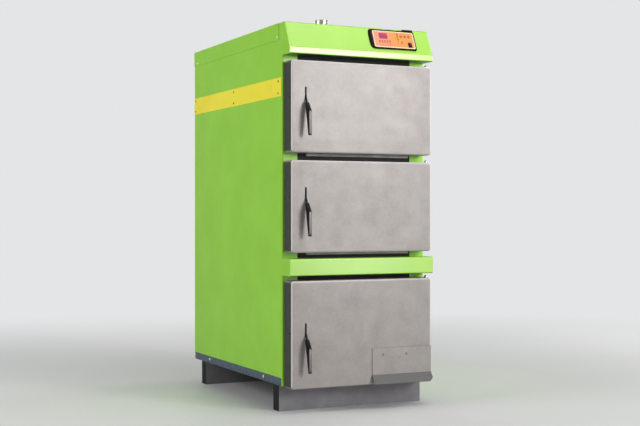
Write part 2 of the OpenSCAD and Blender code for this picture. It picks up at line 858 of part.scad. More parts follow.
// A butterfly on an upright spindle; it stands along the smoke's way when open
module flue_damper() {
    y = case_d + damper_y;
    z1 = flue_z + flue_r + damper_knob;
    r = flue_r - flue_t - damper_play;
    color("#8A8A8C") seat() {
        rod_x(-damper_t / 2, damper_t / 2, y, flue_z, r);
        rod_z(flue_z - flue_r - damper_knob / 4, z1, 0, y, damper_pin_r);
        block([-damper_pin_r, y - damper_tail, z1], [damper_pin_r, y + damper_handle, z1 + damper_pin_r]);
    }
}

module supply_pipe() {
    z1 = top_z + supply_up;
    color("#A8A6A0") seat() difference() {
        union() {
            rod_z(jacket_z1, z1, 0, supply_y, pipe_r);
            rod_z(z1 - socket_l, z1, 0, supply_y, socket_r);
        }
        rod_z(jacket_z1 - over, z1 - socket_l + over, 0, supply_y, pipe_bore_r);
        rod_z(z1 - socket_l, z1 + over, 0, supply_y, socket_bore_r);
    }
}

module return_pipe() {
    y1 = case_d + return_reach;
    color("#A8A6A0") seat() difference() {
        union() {
            rod_y(jacket_y1, y1, return_x, return_z, pipe_r);
            rod_y(y1 - socket_l, y1, return_x, return_z, socket_r);
        }
        rod_y(jacket_y1 - over, y1 - socket_l + over, return_x, return_z, pipe_bore_r);
        rod_y(y1 - socket_l, y1 + over, return_x, return_z, socket_bore_r);
    }
}

module drain_pipe() {
    color("#A8A6A0") seat() difference() {
        rod_y(jacket_y1, case_d + return_reach / 2, drain_x, drain_z, drain_r);
        rod_y(jacket_y1 - over, case_d + return_reach / 2 + over, drain_x, drain_z, drain_bore_r);
    }
}

// Local axes on the slope: X to the right, Y up the slope, Z outward, from its upper edge
module on_slope() {
    translate([0, -hood_top_reach, top_z]) rotate([90 - slope_a, 0, 0]) children();
}
module on_controller() { on_slope() translate([ctrl_x, -ctrl_down, 0]) children(); }

module controller_housing() {
    color("#1A1A1C") seat() on_controller() {
        difference() {
            union() {
                translate([case_x, case_y, 0]) linear_extrude(ctrl_proud) pad(ctrl_w, ctrl_h, ctrl_r);
                translate([-case_core_w / 2, -case_core_h / 2, -ctrl_deep])
                    cube([case_core_w, case_core_h, ctrl_deep + over]);
            }
            translate([-case_core_w / 2 + ctrl_wall, -case_core_h / 2 + ctrl_wall, -ctrl_deep + ctrl_wall])
                cube([case_core_w - 2 * ctrl_wall, case_core_h - 2 * ctrl_wall, ctrl_deep + ctrl_proud]);
            translate([face_x, 0, ctrl_proud - face_t]) linear_extrude(face_t + over)
                pad(face_w + 2 * root_gap, face_h + 2 * root_gap, face_r + root_gap);
        }
        translate([hook_x, case_y + ctrl_h / 2 - hook_h / 3, ctrl_proud])
            linear_extrude(hook_out) pad(hook_w, hook_h, hook_h / 3);
    }
}

module controller_face() {
    color("#F5A050") seat() on_controller() {
        difference() {
            translate([face_x, 0, ctrl_proud - face_t]) linear_extrude(face_t) pad(face_w, face_h, face_r);
            translate([window_x, window_y, ctrl_proud - window_t]) linear_extrude(window_t + over)
                pad(window_w + 2 * root_gap, window_h + 2 * root_gap, root_gap);
            for (k = doors) translate([key_x0 + k * key_pitch, key_up, 0])
                cylinder(h = 2 * ctrl_proud, r = key_r + key_play);
            translate([rocker_x - rocker_w / 2 - rocker_play, rocker_y - rocker_h / 2 - rocker_play, 0])
                cube([rocker_w + 2 * rocker_play, rocker_h + 2 * rocker_play, 2 * ctrl_proud]);
        }
        // Circuit board on the back of the face, with a bearing block for the rocker
        translate([face_x - face_w / 3, -face_h / 3, ctrl_proud - face_t - board_deep])
            cube([face_w * 2 / 3 - rocker_w, face_h * 2 / 3, board_t]);
        for (x = [-face_w / 3 + board_t, face_w / 4 - rocker_w], y = [-face_h / 4, 0])
            translate([x, y, ctrl_proud - face_t - board_deep + board_t / 2])
                cylinder(h = board_deep - board_t / 2 + face_t / 2, r = key_stem_r);
        for (m = [0, 1]) translate([rocker_x, rocker_y, 0]) mirror([m, 0, 0]) difference() {
            translate([rocker_w / 2 + rocker_play, -rocker_h / 4, ctrl_proud - rocker_d])
                cube([board_t, rocker_h / 2, rocker_d - face_t / 2]);
            translate([rocker_w / 2, 0, ctrl_proud - rocker_d / 2]) rotate([0, 90, 0])
                cylinder(h = rocker_w, r = rocker_pin_r + rocker_pin_play);
        }
    }
}

module display_window() {
    color("#B8287C") seat() on_controller() translate([window_x, window_y, ctrl_proud - window_t])
        linear_extrude(window_t) pad(window_w, window_h, root_gap);
}

// A shallow V across the top of the switch; at rest its upper half is pressed in
module rocker_switch() {
    h = rocker_h / 2;
    color("#141416") seat() on_controller() translate([rocker_x, rocker_y, ctrl_proud - rocker_d / 2])
        rotate([rocker_tilt, 0, 0]) {
            rotate([90, 0, 90]) translate([0, 0, -rocker_w / 2]) linear_extrude(rocker_w)
                polygon([[-h + rocker_play, -rocker_d / 4], [h - rocker_play, -rocker_d / 4],
                    [h - rocker_play, rocker_d / 2 + rocker_play], [0, rocker_d / 2 - rocker_play],
                    [-h + rocker_play, rocker_d / 2 + rocker_play]]);
            translate([-rocker_w / 2 - board_t, 0, 0]) rotate([0, 90, 0])
                cylinder(h = rocker_w + 2 * board_t, r = rocker_pin_r);
        }
}

module key(k) {
    color("#7A4A24") seat() on_controller() translate([key_x0 + k * key_pitch, key_up, 0]) {
        translate([0, 0, ctrl_proud - face_t]) cylinder(h = key_h, r = key_r);
        translate([0, 0, ctrl_proud - face_t - key_play - key_flange_t]) {
            cylinder(h = key_flange_t, r = key_r + key_flange);
            cylinder(h = key_flange_t + key_play, r = key_r);
        }
        translate([0, 0, ctrl_proud - face_t - board_deep + board_t + key_travel + key_play])
            cylinder(h = board_deep - board_t - key_travel - key_play, r = key_stem_r);
    }
}
module key_1() { key(0); }
module key_2() { key(1); }
module key_3() { key(2); }

// A slab with a rounded outline, from the open back of a door to the depth y, shrunk by a margin
module door_layer(i, y, back, margin) {
    h = door_z1[i] - door_z0[i];
    translate([0, back, door_z0[i] + h / 2]) rotate([90, 0, 0]) linear_extrude(back - y)
        pad(2 * (door_x - margin), h - 2 * margin, door_corner_r - margin * corner_share);
}

// A door's box with round front edges, its walls moved in by inset
module door_block(i, inset, back) {
    r = door_edge_r - inset;
    hull() for (k = [0 : edge_steps]) let (t = 90 * k / edge_steps)
        door_layer(i, door_y0 + inset + r * (1 - cos(t)), back, inset + r * (1 - sin(t)));
}

module door_shell(i) {
    color("#B4ACA8") seat() {
        if (i == 2) air_bearings();
        difference() {
            door_block(i, 0, -door_gap);
            door_block(i, door_t, over);
            // Notches that let the fixed lugs into the door as it swings
            for (z = lug_z(i)) block([hinge_x - lug_r, door_y0 + lug_slot_front, z - rest_gap / 2],
                [case_w, over, z + lug_t + rest_gap / 2]);
            rod_z(door_z0[i] - over, door_z0[i] + 2 * door_t, hinge_x, hinge_y, pin_r + pin_play);
            rod_z(door_z1[i] - 2 * door_t, door_z1[i] + over, hinge_x, hinge_y, pin_r + pin_play);
            // The latch's pivot and the slot for its lever
            rod_x(-case_w, -door_x + 2 * door_t, latch_y, latch_z[i], latch_pin_r + pin_play);
            block([latch_x - slot_w / 2, door_y0 - over, latch_z[i] - slot_down],
                [latch_x + slot_w / 2, skin_y + over, latch_z[i] + slot_up]);
            if (i == 2) air_cuts();
        }
    }
}

// Cuts in the lower door's skin: the air opening and a slot for each of the flap's ears
air_ear_x = [air_left + air_ear_in, air_left + air_ear_in + air_ear_gap];
air_pivot_y = door_y0 + air_pivot_deep;
air_pivot_z = air_z1 + air_pivot_up;
duct_x0 = air_ear_x[0] + (air_ear_gap - duct_w) / 2;
duct_z1 = air_z1 - duct_drop;
module air_cuts() {
    block([duct_x0, door_y0 - over, duct_z1 - duct_h], [duct_x0 + duct_w, skin_y + over, duct_z1]);
    for (x = air_ear_x) block([x - air_ear_t / 2 - slip, door_y0 - over, air_pivot_z - air_slot_low - slip],
        [x + air_ear_t / 2 + slip, skin_y + over, air_pivot_z - air_slot_set]);
}

// Two tabs behind the skin that carry the flap's pin, outside its ears
module air_bearings() {
    for (m = [0, 1]) difference() {
        x = m == 0 ? air_ear_x[0] - air_ear_t / 2 - slip - air_bearing_t
            : air_ear_x[1] + air_ear_t / 2 + slip;
        block([x, skin_y, air_pivot_z - air_bearing_h / 2],
            [x + air_bearing_t, air_pivot_y + air_bearing_h / 2, air_pivot_z + air_bearing_h / 2]);
        rod_x(x - over, x + air_bearing_t + over, air_pivot_y, air_pivot_z, air_pin_r + pin_play);
    }
}

// Pan that closes the wool in: a back plate with four sides folded forward to the skin
module door_liner(i) {
    w = chamber_in + liner_out;
    z0 = throat_z0[i] - liner_out;
    z1 = throat_z1[i] + liner_out;
    color("#7C7A78") seat() {
        difference() {
            block([-w, skin_y, z0], [w, liner_y0 + liner_t, z1]);
            block([-w + liner_t, skin_y - over, z0 + liner_t], [w - liner_t, liner_y0, z1 - liner_t]);
            if (i == 2) duct_hole();
        }
        if (i == 2) difference() {
            block([duct_x0, skin_y, duct_z1 - duct_h], [duct_x0 + duct_w, liner_y0 + liner_t, duct_z1]);
            block([duct_x0 + duct_t, skin_y - over, duct_z1 - duct_h + duct_t],
                [duct_x0 + duct_w - duct_t, over, duct_z1 - duct_t]);
        }
    }
}

module duct_hole() {
    block([duct_x0 + duct_t, door_y0, duct_z1 - duct_h + duct_t],
        [duct_x0 + duct_w - duct_t, over, duct_z1 - duct_t]);
}

module door_wool(i) {
    w = chamber_in + liner_out - liner_t;
    z0 = throat_z0[i] - liner_out + liner_t;
    z1 = throat_z1[i] + liner_out - liner_t;
    color("#CDB06A") seat() difference() {
        block([-w, skin_y, z0], [w, liner_y0, z1]);
        if (i == 2) {
            block([duct_x0, skin_y - over, duct_z1 - duct_h], [duct_x0 + duct_w, over, duct_z1]);
            // Room for the flap's ears and pivot
            block([air_ear_x[0] - slot_w, skin_y - over, air_pivot_z - air_slot_low - slip],
                [air_ear_x[1] + slot_w, air_pivot_y + 2 * air_ear_r, air_pivot_z + 2 * air_ear_r]);
        }
    }
}

// Rope seal pressed on by the frame's ribs
module door_rope(i) {
    a = chamber_in + rope_in;
    b = a + rope_w;
    color("#E6E0CE") seat() difference() {
        block([-b, rope_y0, throat_z0[i] - rope_in - rope_w],
            [b, rope_y1, throat_z1[i] + rope_in + rope_w]);
        block([-a, rope_y0 - over, throat_z0[i] - rope_in], [a, rope_y1 + over, throat_z1[i] + rope_in]);
    }
}

// Two hinge pins, and the latch's pivot with its inner bracket
module door_pins(i) {
    bx = latch_x + boss_l / 2 + bracket_gap;
    z = latch_z[i];
    color("#C8C8C4") seat() {
        rod_z(door_z1[i] - door_t - rest_gap - lug_t, door_z1[i], hinge_x, hinge_y, pin_r);
        translate([hinge_x, hinge_y, door_z1[i]]) rotate_extrude() polygon(concat([[0, 0], [head_r, 0]],
            [for (k = [0 : arc_steps]) let (t = 90 * k / arc_steps)
                [head_r * cos(t), head_h / 3 + head_h * 2 / 3 * sin(t)]]));
        rod_z(door_z0[i], door_z0[i] + door_t + rest_gap + lug_t, hinge_x, hinge_y, pin_r);
        rod_x(-door_x - door_t / 2, bx + bracket_t, latch_y, z, latch_pin_r);
        difference() {
            block([bx, skin_y, z - bracket_h / 2],
                [bx + bracket_t, latch_y + 2 * latch_pin_r, z + bracket_h / 2]);
            rod_x(bx - over, bx + bracket_t + over, latch_y, z, latch_pin_r / 2);
        }
    }
}

// Outlines of the grip and of the lever's end in it, as [stand-off from the door, fall below the pivot]
tang_front = grip_near - tang_wall;
tang_back = grip_back + tang_wall;
grip_outline = [[grip_back, grip_top_drop], [grip_near, grip_top_drop],
    [grip_far - grip_lean, grip_top_drop + grip_slope], [grip_far, grip_top_drop + grip_h],
    [grip_far - grip_low_d, grip_top_drop + grip_h]];
tang_outline = [[-arm_out, -arm_h / 2], [arm_out, -arm_h / 2], [tang_front, grip_top_drop],
    [grip_far - tang_low_set, grip_top_drop + tang_in],
    [grip_far - tang_low_set - tang_low_w, grip_top_drop + tang_in], [tang_back, grip_top_drop],
    [-arm_out, arm_h / 2]];
module latch_side(i, w, pts) {
    translate([0, door_y0, latch_z[i]]) along_x(latch_x - w / 2, latch_x + w / 2)
        polygon([for (p = pts) [-p[0], -p[1]]]);
}

module latch_lever(i) {
    color("#8E8E8C") seat() difference() {
        union() {
            translate([0, latch_y, latch_z[i]]) along_x(latch_x - lever_t / 2, latch_x + lever_t / 2) {
                translate([-latch_deep, -arm_h / 2]) square([latch_deep, arm_h]);
                polygon([[0, hook_low], [hook_reach, hook_low], [hook_reach, nose_top],
                    [hook_reach - nose_t, nose_top], [hook_reach - nose_t, hook_top], [0, hook_top]]);
            }
            rod_x(latch_x - boss_l / 2, latch_x + boss_l / 2, latch_y, latch_z[i], boss_r);
            latch_side(i, lever_t, tang_outline);
        }
        rod_x(latch_x - boss_l, latch_x + boss_l, latch_y, latch_z[i], latch_pin_r + pin_play);
    }
}

// A grip with a sloped top and an upright front, hollow for the lever's end
module latch_grip(i) {
    color("#1B1B1D") seat() difference() {
        latch_side(i, grip_w, rounded(grip_outline, grip_radii));
        latch_side(i, lever_t, tang_outline);
    }
}

// Local axes on the lip's outer face: X to the right, Y up the lip, Z outward
module on_lip(x, down) {
    translate([x, door_y0 - rest_gap - air_t - down * cos(air_lip_fall), air_z0 - down * sin(air_lip_fall)])
        rotate([air_lip_fall, 0, 0]) children();
}

// A plate with a lip folded out at its foot, hung from two ears that reach in behind the skin
module air_flap() {
    y1 = door_y0 - rest_gap;
    y0 = y1 - air_t;
    lip = [air_lip * cos(air_lip_fall), air_lip * sin(air_lip_fall)];
    cut = [air_t * sin(air_lip_fall), air_t * cos(air_lip_fall)];
    color("#A09894") seat() {
        difference() {
            along_x(air_left, air_x1) polygon([[y1, air_z1], [y0, air_z1], [y0, air_z0],
                [y0 - lip[0], air_z0 - lip[1]], [y0 - lip[0] + cut[0], air_z0 - lip[1] - cut[1]],
                [y1, air_z0 - cut[1]]]);
            // The lip's outer right corner, and the hole for a chain
            on_lip(air_x1, air_lip) rotate([0, 0, 45])
                cube([air_chamfer * sqrt(2), air_chamfer * sqrt(2), 4 * air_t], center = true);
            on_lip(air_x1 - chain_in, chain_down) cylinder(h = 4 * air_t, r = chain_r, center = true);
        }
        for (x = air_ear_x) along_x(x - air_ear_t / 2, x + air_ear_t / 2) polygon([
            [y1, air_z1 - air_ear_drop], [y1, air_z1 - air_ear_top],
            [air_pivot_y - air_ear_r / 2, air_pivot_z - air_ear_r * 3 / 4],
            [air_pivot_y - air_ear_r / 2, air_pivot_z + air_ear_r / 4],
            [air_pivot_y, air_pivot_z + air_ear_r / 2], [air_pivot_y + air_ear_r / 2, air_pivot_z],
            [air_pivot_y + air_ear_r / 2, air_pivot_z - 2 * air_ear_r]]);
        rod_x(air_ear_x[0] - air_ear_t / 2 - slip - air_bearing_t, air_ear_x[1] + air_ear_t / 2 + slip
            + air_bearing_t, air_pivot_y, air_pivot_z, air_pin_r);
    }
}

module door_shell_upper() { door_shell(0); }
module door_shell_middle() { door_shell(1); }
module door_shell_lower() { door_shell(2); }
module door_liner_upper() { door_liner(0); }
module door_liner_middle() { door_liner(1); }
module door_liner_lower() { door_liner(2); }
module door_wool_upper() { door_wool(0); }
module door_wool_middle() { door_wool(1); }
module door_wool_lower() { door_wool(2); }
module door_rope_upper() { door_rope(0); }
module door_rope_middle() { door_rope(1); }
module door_rope_lower() { door_rope(2); }
module door_pins_upper() { door_pins(0); }
module door_pins_middle() { door_pins(1); }
module door_pins_lower() { door_pins(2); }
module latch_lever_upper() { latch_lever(0); }
module latch_lever_middle() { latch_lever(1); }
module latch_lever_lower() { latch_lever(2); }
module latch_grip_upper() { latch_grip(0); }
module latch_grip_middle() { latch_grip(1); }
module latch_grip_lower() { latch_grip(2); }

front_leg();
rear_leg();
base_rails();
side_panel_left();
side_panel_right();
rear_panel();
top_cover();
hood_panel();
middle_bar();
front_panel();
side_bands();
casing_screws();
band_rivets();
front_plate();
jacket_plates();
jacket_back();
chamber_plates();
chamber_back();
door_frames();
hinge_lugs();
latch_strikers();
grate();
firebricks();
ash_pan();
exchanger_shelves();
insulation();
flue_outlet();
flue_damper();
supply_pipe();
return_pipe();
drain_pipe();
controller_housing();
controller_face();
display_window();
rocker_switch();
key_1();
key_2();
key_3();
door_shell_upper();
door_liner_upper();
door_wool_upper();
door_rope_upper();
door_pins_upper();
latch_lever_upper();
latch_grip_upper();
door_shell_middle();
door_liner_middle();
door_wool_middle();
door_rope_middle();
door_pins_middle();
latch_lever_middle();
latch_grip_middle();
door_shell_lower();
door_liner_lower();
door_wool_lower();
door_rope_lower();
door_pins_lower();
latch_lever_lower();
latch_grip_lower();
air_flap();
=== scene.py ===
"""Looks of the hot water boiler: camera, studio, finishes and the detailed pieces round the CAD frame."""
import json
import math

import bmesh
import bpy
from mathutils import Matrix, Vector


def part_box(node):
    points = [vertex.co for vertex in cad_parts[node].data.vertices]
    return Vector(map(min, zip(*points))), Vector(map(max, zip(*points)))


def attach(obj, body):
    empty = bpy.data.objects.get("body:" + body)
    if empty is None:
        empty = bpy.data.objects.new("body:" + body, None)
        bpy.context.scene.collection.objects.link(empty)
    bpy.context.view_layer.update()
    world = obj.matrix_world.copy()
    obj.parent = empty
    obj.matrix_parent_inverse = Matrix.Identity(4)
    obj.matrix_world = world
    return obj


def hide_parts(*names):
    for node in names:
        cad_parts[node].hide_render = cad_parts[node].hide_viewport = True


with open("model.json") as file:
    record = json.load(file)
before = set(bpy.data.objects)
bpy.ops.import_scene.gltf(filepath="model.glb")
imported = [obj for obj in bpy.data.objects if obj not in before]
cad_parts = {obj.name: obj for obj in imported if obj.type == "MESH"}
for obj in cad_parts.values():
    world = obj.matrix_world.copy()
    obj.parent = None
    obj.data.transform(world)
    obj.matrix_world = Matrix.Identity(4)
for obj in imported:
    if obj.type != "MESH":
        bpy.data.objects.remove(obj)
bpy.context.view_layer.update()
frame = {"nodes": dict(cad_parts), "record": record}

MM = 0.001
SHEET = 1.5
# The casing's front: every place below is in millimetres from it, the centre line and the floor
FRONT_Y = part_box("front_panel")[0].y - SHEET * MM
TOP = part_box("top_cover")[1].z / MM
CASING_D = (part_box("rear_panel")[1].y - FRONT_Y) / MM
HALF_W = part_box("side_panel_right")[1].x / MM
DOORS = ("upper", "middle", "lower")
SIDES = ((-1, "-x"), (1, "+x"))


def at(x, y, z):
    """A point given in millimetres from the centre line, the casing's front and the floor."""
    return Vector((x * MM, FRONT_Y + y * MM, z * MM))


def box_mm(name):
    """A CAD node's corners in the same millimetres."""
    low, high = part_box(name)
    shift = Vector((0, FRONT_Y, 0))
    return (low - shift) / MM, (high - shift) / MM


# Materials
# The values that a noise mostly keeps between, and that its clouds and grains are stretched from
MIDDLE = {"From Min": 0.3, "From Max": 0.7}


def linear(colour):
    """An sRGB hex colour as the linear values that Blender's sockets take."""
    parts = [int(colour[i:i + 2], 16) / 255 for i in (1, 3, 5)]
    return [p / 12.92 if p <= 0.04045 else ((p + 0.055) / 1.055) ** 2.4 for p in parts] + [1.0]


def per(size_mm):
    """The scale of a pattern whose features are this many millimetres across."""
    return 1 / (size_mm * MM)


def add(tree, kind, settings=None, inputs=None):
    """Adds a node with its own settings. inputs maps a socket to the output that feeds it,
    to a value or to a hex colour."""
    made = tree.nodes.new(kind)
    for key, value in (settings or {}).items():
        setattr(made, key, value)
    for key, value in (inputs or {}).items():
        if isinstance(value, bpy.types.NodeSocket):
            tree.links.new(value, made.inputs[key])
        else:
            made.inputs[key].default_value = linear(value) if isinstance(value, str) else value
    return made


def clouds(tree, place, size_mm, detail, low=0.0, high=1.0, rough=0.55):
    """Clouds of this many millimetres that drift from one value to the other."""
    cloud = add(tree, "ShaderNodeTexNoise", inputs={
        "Vector": place, "Scale": per(size_mm), "Detail": detail, "Roughness": rough}).outputs["Fac"]
    return add(tree, "ShaderNodeMapRange", inputs={
        **MIDDLE, "Value": cloud, "To Min": low, "To Max": high}).outputs[0]


def grain(tree, place, size_mm, detail, depth_mm, strength, rough=0.55):
    """A grain of this size and depth: its heights from 0 to 1, and the skin that they make."""
    heights = add(tree, "ShaderNodeTexNoise", inputs={
        "Vector": place, "Scale": per(size_mm), "Detail": detail, "Roughness": rough}).outputs["Fac"]
    skin = add(tree, "ShaderNodeBump", inputs={
        "Height": heights, "Distance": depth_mm * MM, "Strength": strength}).outputs[0]
    return heights, skin


def crystals(tree, place, size_mm):
    """Cells of this many millimetres, each with a value of its own."""
    cell = add(tree, "ShaderNodeTexVoronoi", {"feature": "F1"}, {"Vector": place, "Scale": per(size_mm)})
    return add(tree, "ShaderNodeSeparateColor", inputs={"Color": cell.outputs["Color"]}).outputs[0]


def looking(tree, axis, low, high, either_way=True):
    """How far a face looks along one of the piece's own axes: 0 up to the first share and 1 past
    the other. either_way: faces that look back along the axis count as well."""
    normal = add(tree, "ShaderNodeTexCoord").outputs["Normal"]
    part = add(tree, "ShaderNodeSeparateXYZ", inputs={"Vector": normal}).outputs[axis]
    if either_way:
        part = add(tree, "ShaderNodeMath", {"operation": "ABSOLUTE"}, {0: part}).outputs[0]
    return add(tree, "ShaderNodeMapRange", inputs={
        "Value": part, "From Min": low, "From Max": high}).outputs[0]


def painted_highlight_bends(tree):
    """Where the painted highlight goes: 1 on the rounded edges round a door's front, but not on the ones
    that look down.
    """
    share = looking(tree, "Y", 0.45, 0.6)
    for other in (looking(tree, "Y", 0.98, 0.93), looking(tree, "Z", -0.35, -0.15, either_way=False)):
        share = add(tree, "ShaderNodeMath", {"operation": "MULTIPLY"}, {0: share, 1: other}).outputs[0]
    return share


def coats(tree, base, *layers):
    """A colour with others laid over it, each given as the colour and its share."""
    for colour, share in layers:
        base = add(tree, "ShaderNodeMix", {"data_type": "RGBA"}, {0: share, 6: base, 7: colour}).outputs[2]
    return base


def finish(name, shader):
    """A new material with its tree, its shader and the object's own coordinates."""
    made = bpy.data.materials.new(name)
    made.use_nodes = True
    tree = made.node_tree
    tree.nodes.clear()
    surface = add(tree, "ShaderNodeBsdfPrincipled", inputs=shader)
    add(tree, "ShaderNodeOutputMaterial", inputs={"Surface": surface.outputs[0]})
    place = add(tree, "ShaderNodeTexCoord").outputs["Object"]
    return made, tree, surface, place


def dress(tree, surface, colour, rough=None, skin=None):
    """Leads a finish's colour, roughness and skin to its shader."""
    for key, value in (("Base Color", colour), ("Roughness", rough), ("Normal", skin)):
        if value is not None:
            tree.links.new(value, surface.inputs[key])


def powder_coat(name, light, dark, rough=0.36, gloss=0.25, under=None):
    """Powder coat baked on sheet steel: faint orange peel, and a tone that drifts over a hand's width.
    under: painted shade, the darker tone of the faces that look down."""
    made, tree, surface, place = finish(name, {
        "Specular IOR Level": 0.1, "Coat Weight": gloss, "Coat Roughness": 0.26})
    colour = coats(tree, light, (dark, clouds(tree, place, 160, 3)))
    # Painted shade on the faces that look down
    if under:
        colour = coats(tree, colour, (under, looking(tree, "Z", -0.4, -0.8, either_way=False)))
    peel = grain(tree, place, 2.6, 2, 0.05, 0.35)[1]
    dress(tree, surface, colour, clouds(tree, place, 45, 4, rough - 0.03, rough + 0.05), peel)
    return made


def hammered_lacquer(name, lip=False):
    """Silver grey lacquer sprayed on steel plate: cloudy mottling with a fine metallic fleck.
    Painted shade darkens the doors' side faces, and a painted highlight lies along their front bends.
    On the flap the lip carries painted shade instead."""
    made, tree, surface, place = finish(name, {
        "Metallic": 0.06, "Specular IOR Level": 0.3, "Coat Weight": 0.05})
    cloud = clouds(tree, place, 70, 5, rough=0.62)
    # The flecks are under a millimetre and are drawn coarser, so that they show
    fleck = add(tree, "ShaderNodeMath", {"operation": "MULTIPLY"}, {0: crystals(tree, place, 3.2), 1: 0.16})
    colour = coats(tree, "#A09996", ("#8F8885", cloud), ("#B8B3B0", fleck.outputs[0]))
    # Painted shade on the flap's lip
    if lip:
        colour = coats(tree, colour, ("#6C6A69", looking(tree, "Z", 0.45, 0.55)))
    else:
        # Painted shade on the side faces, and a painted highlight on the front bends
        painted_shade_sides = looking(tree, "X", 0.8, 0.97)
        colour = coats(tree, colour, ("#30312E", painted_shade_sides), ("#DAD6D2", painted_highlight_bends(tree)))
    hammer = grain(tree, place, 5.5, 2, 0.09, 0.4)[1]
    dress(tree, surface, colour, clouds(tree, place, 38, 4, 0.4, 0.5), hammer)
    return made


def zinc(name, light, dark, spangle_mm, rough, blued=None):
    """Zinc on steel: crystals that each take the light a little differently.
    blued: parts left of this place are dark blued steel, as the latch pins are."""
    made, tree, surface, place = finish(name, {"Metallic": 1.0})
    tone = crystals(tree, place, spangle_mm)
    colour = coats(tree, light, (dark, tone))
    if blued is not None:
        x = add(tree, "ShaderNodeSeparateXYZ", inputs={"Vector": place}).outputs["X"]
        right = add(tree, "ShaderNodeMath", {"operation": "GREATER_THAN"}, {0: x, 1: blued * MM}).outputs[0]
        colour = coats(tree, "#2B2A2C", (colour, right))
    worn = add(tree, "ShaderNodeMapRange", inputs={
        **MIDDLE, "Value": tone, "To Min": rough - 0.06, "To Max": rough + 0.08}).outputs[0]
    dress(tree, surface, colour, worn, grain(tree, place, 1.4, 3, 0.03, 0.3)[1])
    return made


def steel(name, light, dark, cloud_mm, rough, metallic, pits_mm=0.12, foot=None):
    """Rolled, cast or turned steel and iron: drifting tone and a slightly uneven skin.
    foot: painted shade, the tone that the piece darkens to toward its lower end."""
    made, tree, surface, place = finish(name, {"Metallic": metallic})
    colour = coats(tree, light, (dark, clouds(tree, place, cloud_mm, 5, rough=0.6)))
    # Painted shade toward the piece's lower end
    if foot:
        share = add(tree, "ShaderNodeTexCoord").outputs["Generated"]
        share = add(tree, "ShaderNodeSeparateXYZ", inputs={"Vector": share}).outputs["Z"]
        colour = coats(tree, foot, (colour, share))
    worn = clouds(tree, place, cloud_mm / 3, 4, rough - 0.07, rough + 0.08)
    dress(tree, surface, colour, worn, grain(tree, place, 3.0, 4, pits_mm, 0.4)[1])
    return made


def paint(name, light, dark, rough, grain_mm=2.0, depth_mm=0.05, coat=0.0, sheen=0.5, ends=None):
    """Brushed or dipped paint, print and moulded plastic: an even tone with a fine grain.
    ends: painted shade, the darker tone of the faces that look left and right."""
    made, tree, surface, place = finish(name, {
        "Specular IOR Level": sheen, "Coat Weight": coat, "Coat Roughness": 0.15})
    colour = coats(tree, light, (dark, clouds(tree, place, 55, 4)))
    # Painted shade on the faces that look left and right
    if ends:
        colour = coats(tree, colour, (ends, looking(tree, "X", 0.8, 0.97)))
    dress(tree, surface, colour, clouds(tree, place, 18, 3, rough - 0.04, rough + 0.05),
          grain(tree, place, grain_mm, 2, depth_mm, 0.4)[1])
    return made


def fibre(name, light, dark, strand_mm):
    """Mineral wool or rope yarn: matt strands over darker gaps."""
    made, tree, surface, place = finish(name, {"Roughness": 0.95, "Sheen Weight": 0.25})
    strands, skin = grain(tree, place, strand_mm, 5, strand_mm * 0.3, 0.8, rough=0.7)
    share = add(tree, "ShaderNodeMapRange", inputs={**MIDDLE, "Value": strands}).outputs[0]
    dress(tree, surface, coats(tree, dark, (light, share)), skin=skin)
    return made


def chamotte(name):
    """Fired clay: warm buff with darker grains and pores."""
    made, tree, surface, place = finish(name, {"Roughness": 0.93})
    grains, skin = grain(tree, place, 3.0, 5, 0.6, 0.6, rough=0.7)
    pores = add(tree, "ShaderNodeMapRange", inputs={
        **MIDDLE, "Value": grains, "To Min": 0.55, "To Max": 0.0}).outputs[0]
    cloud = clouds(tree, place, 60, 4)
    dress(tree, surface, coats(tree, "#CFAE7C", ("#B48A5A", cloud), ("#7A5A3C", pores)), skin=skin)
    return made


def printed_foil(name):
    """Printed polyester foil of the control panel: orange that turns pinkish to the left."""
    made, tree, surface, place = finish(name, {"Specular IOR Level": 0.3, "Coat Weight": 0.05})
    low, high = box_mm("controller_face")
    turn_x = low.x + 0.55 * (high.x - low.x)
    across = add(tree, "ShaderNodeSeparateXYZ", inputs={"Vector": place}).outputs["X"]
    share = add(tree, "ShaderNodeMapRange", inputs={
        "Value": across, "From Min": low.x * MM, "From Max": turn_x * MM}).outputs[0]
    dots, skin = grain(tree, place, 0.9, 2, 0.02, 0.3)
    pale = add(tree, "ShaderNodeMapRange", inputs={**MIDDLE, "Value": dots, "To Max": 0.08}).outputs[0]
    colour = coats(tree, "#D98A70", ("#E0893A", share), ("#FFE3C4", pale))
    dress(tree, surface, colour, clouds(tree, place, 9, 2, 0.36, 0.44), skin)
    return made


def tinted_window(name):
    """Tinted acrylic over a lit display: a deep magenta with faint rows of segments."""
    made, tree, surface, place = finish(name, {
        "Specular IOR Level": 0.25, "Roughness": 0.25,
        "Emission Color": "#B8246C", "Emission Strength": 0.06})
    # A wave texture repeats every pi / 10 at scale 1
    row_mm = 17.756
    rows = add(tree, "ShaderNodeTexWave", {"wave_type": "BANDS", "bands_direction": "Z"},
               {"Vector": place, "Scale": per(row_mm) * math.pi / 10, "Distortion": 0.0}).outputs["Fac"]
    ripple = grain(tree, place, 4, 2, 0.01, 0.2)[1]
    dress(tree, surface, coats(tree, "#96164A", ("#AE2666", rows)), skin=ripple)
    return made


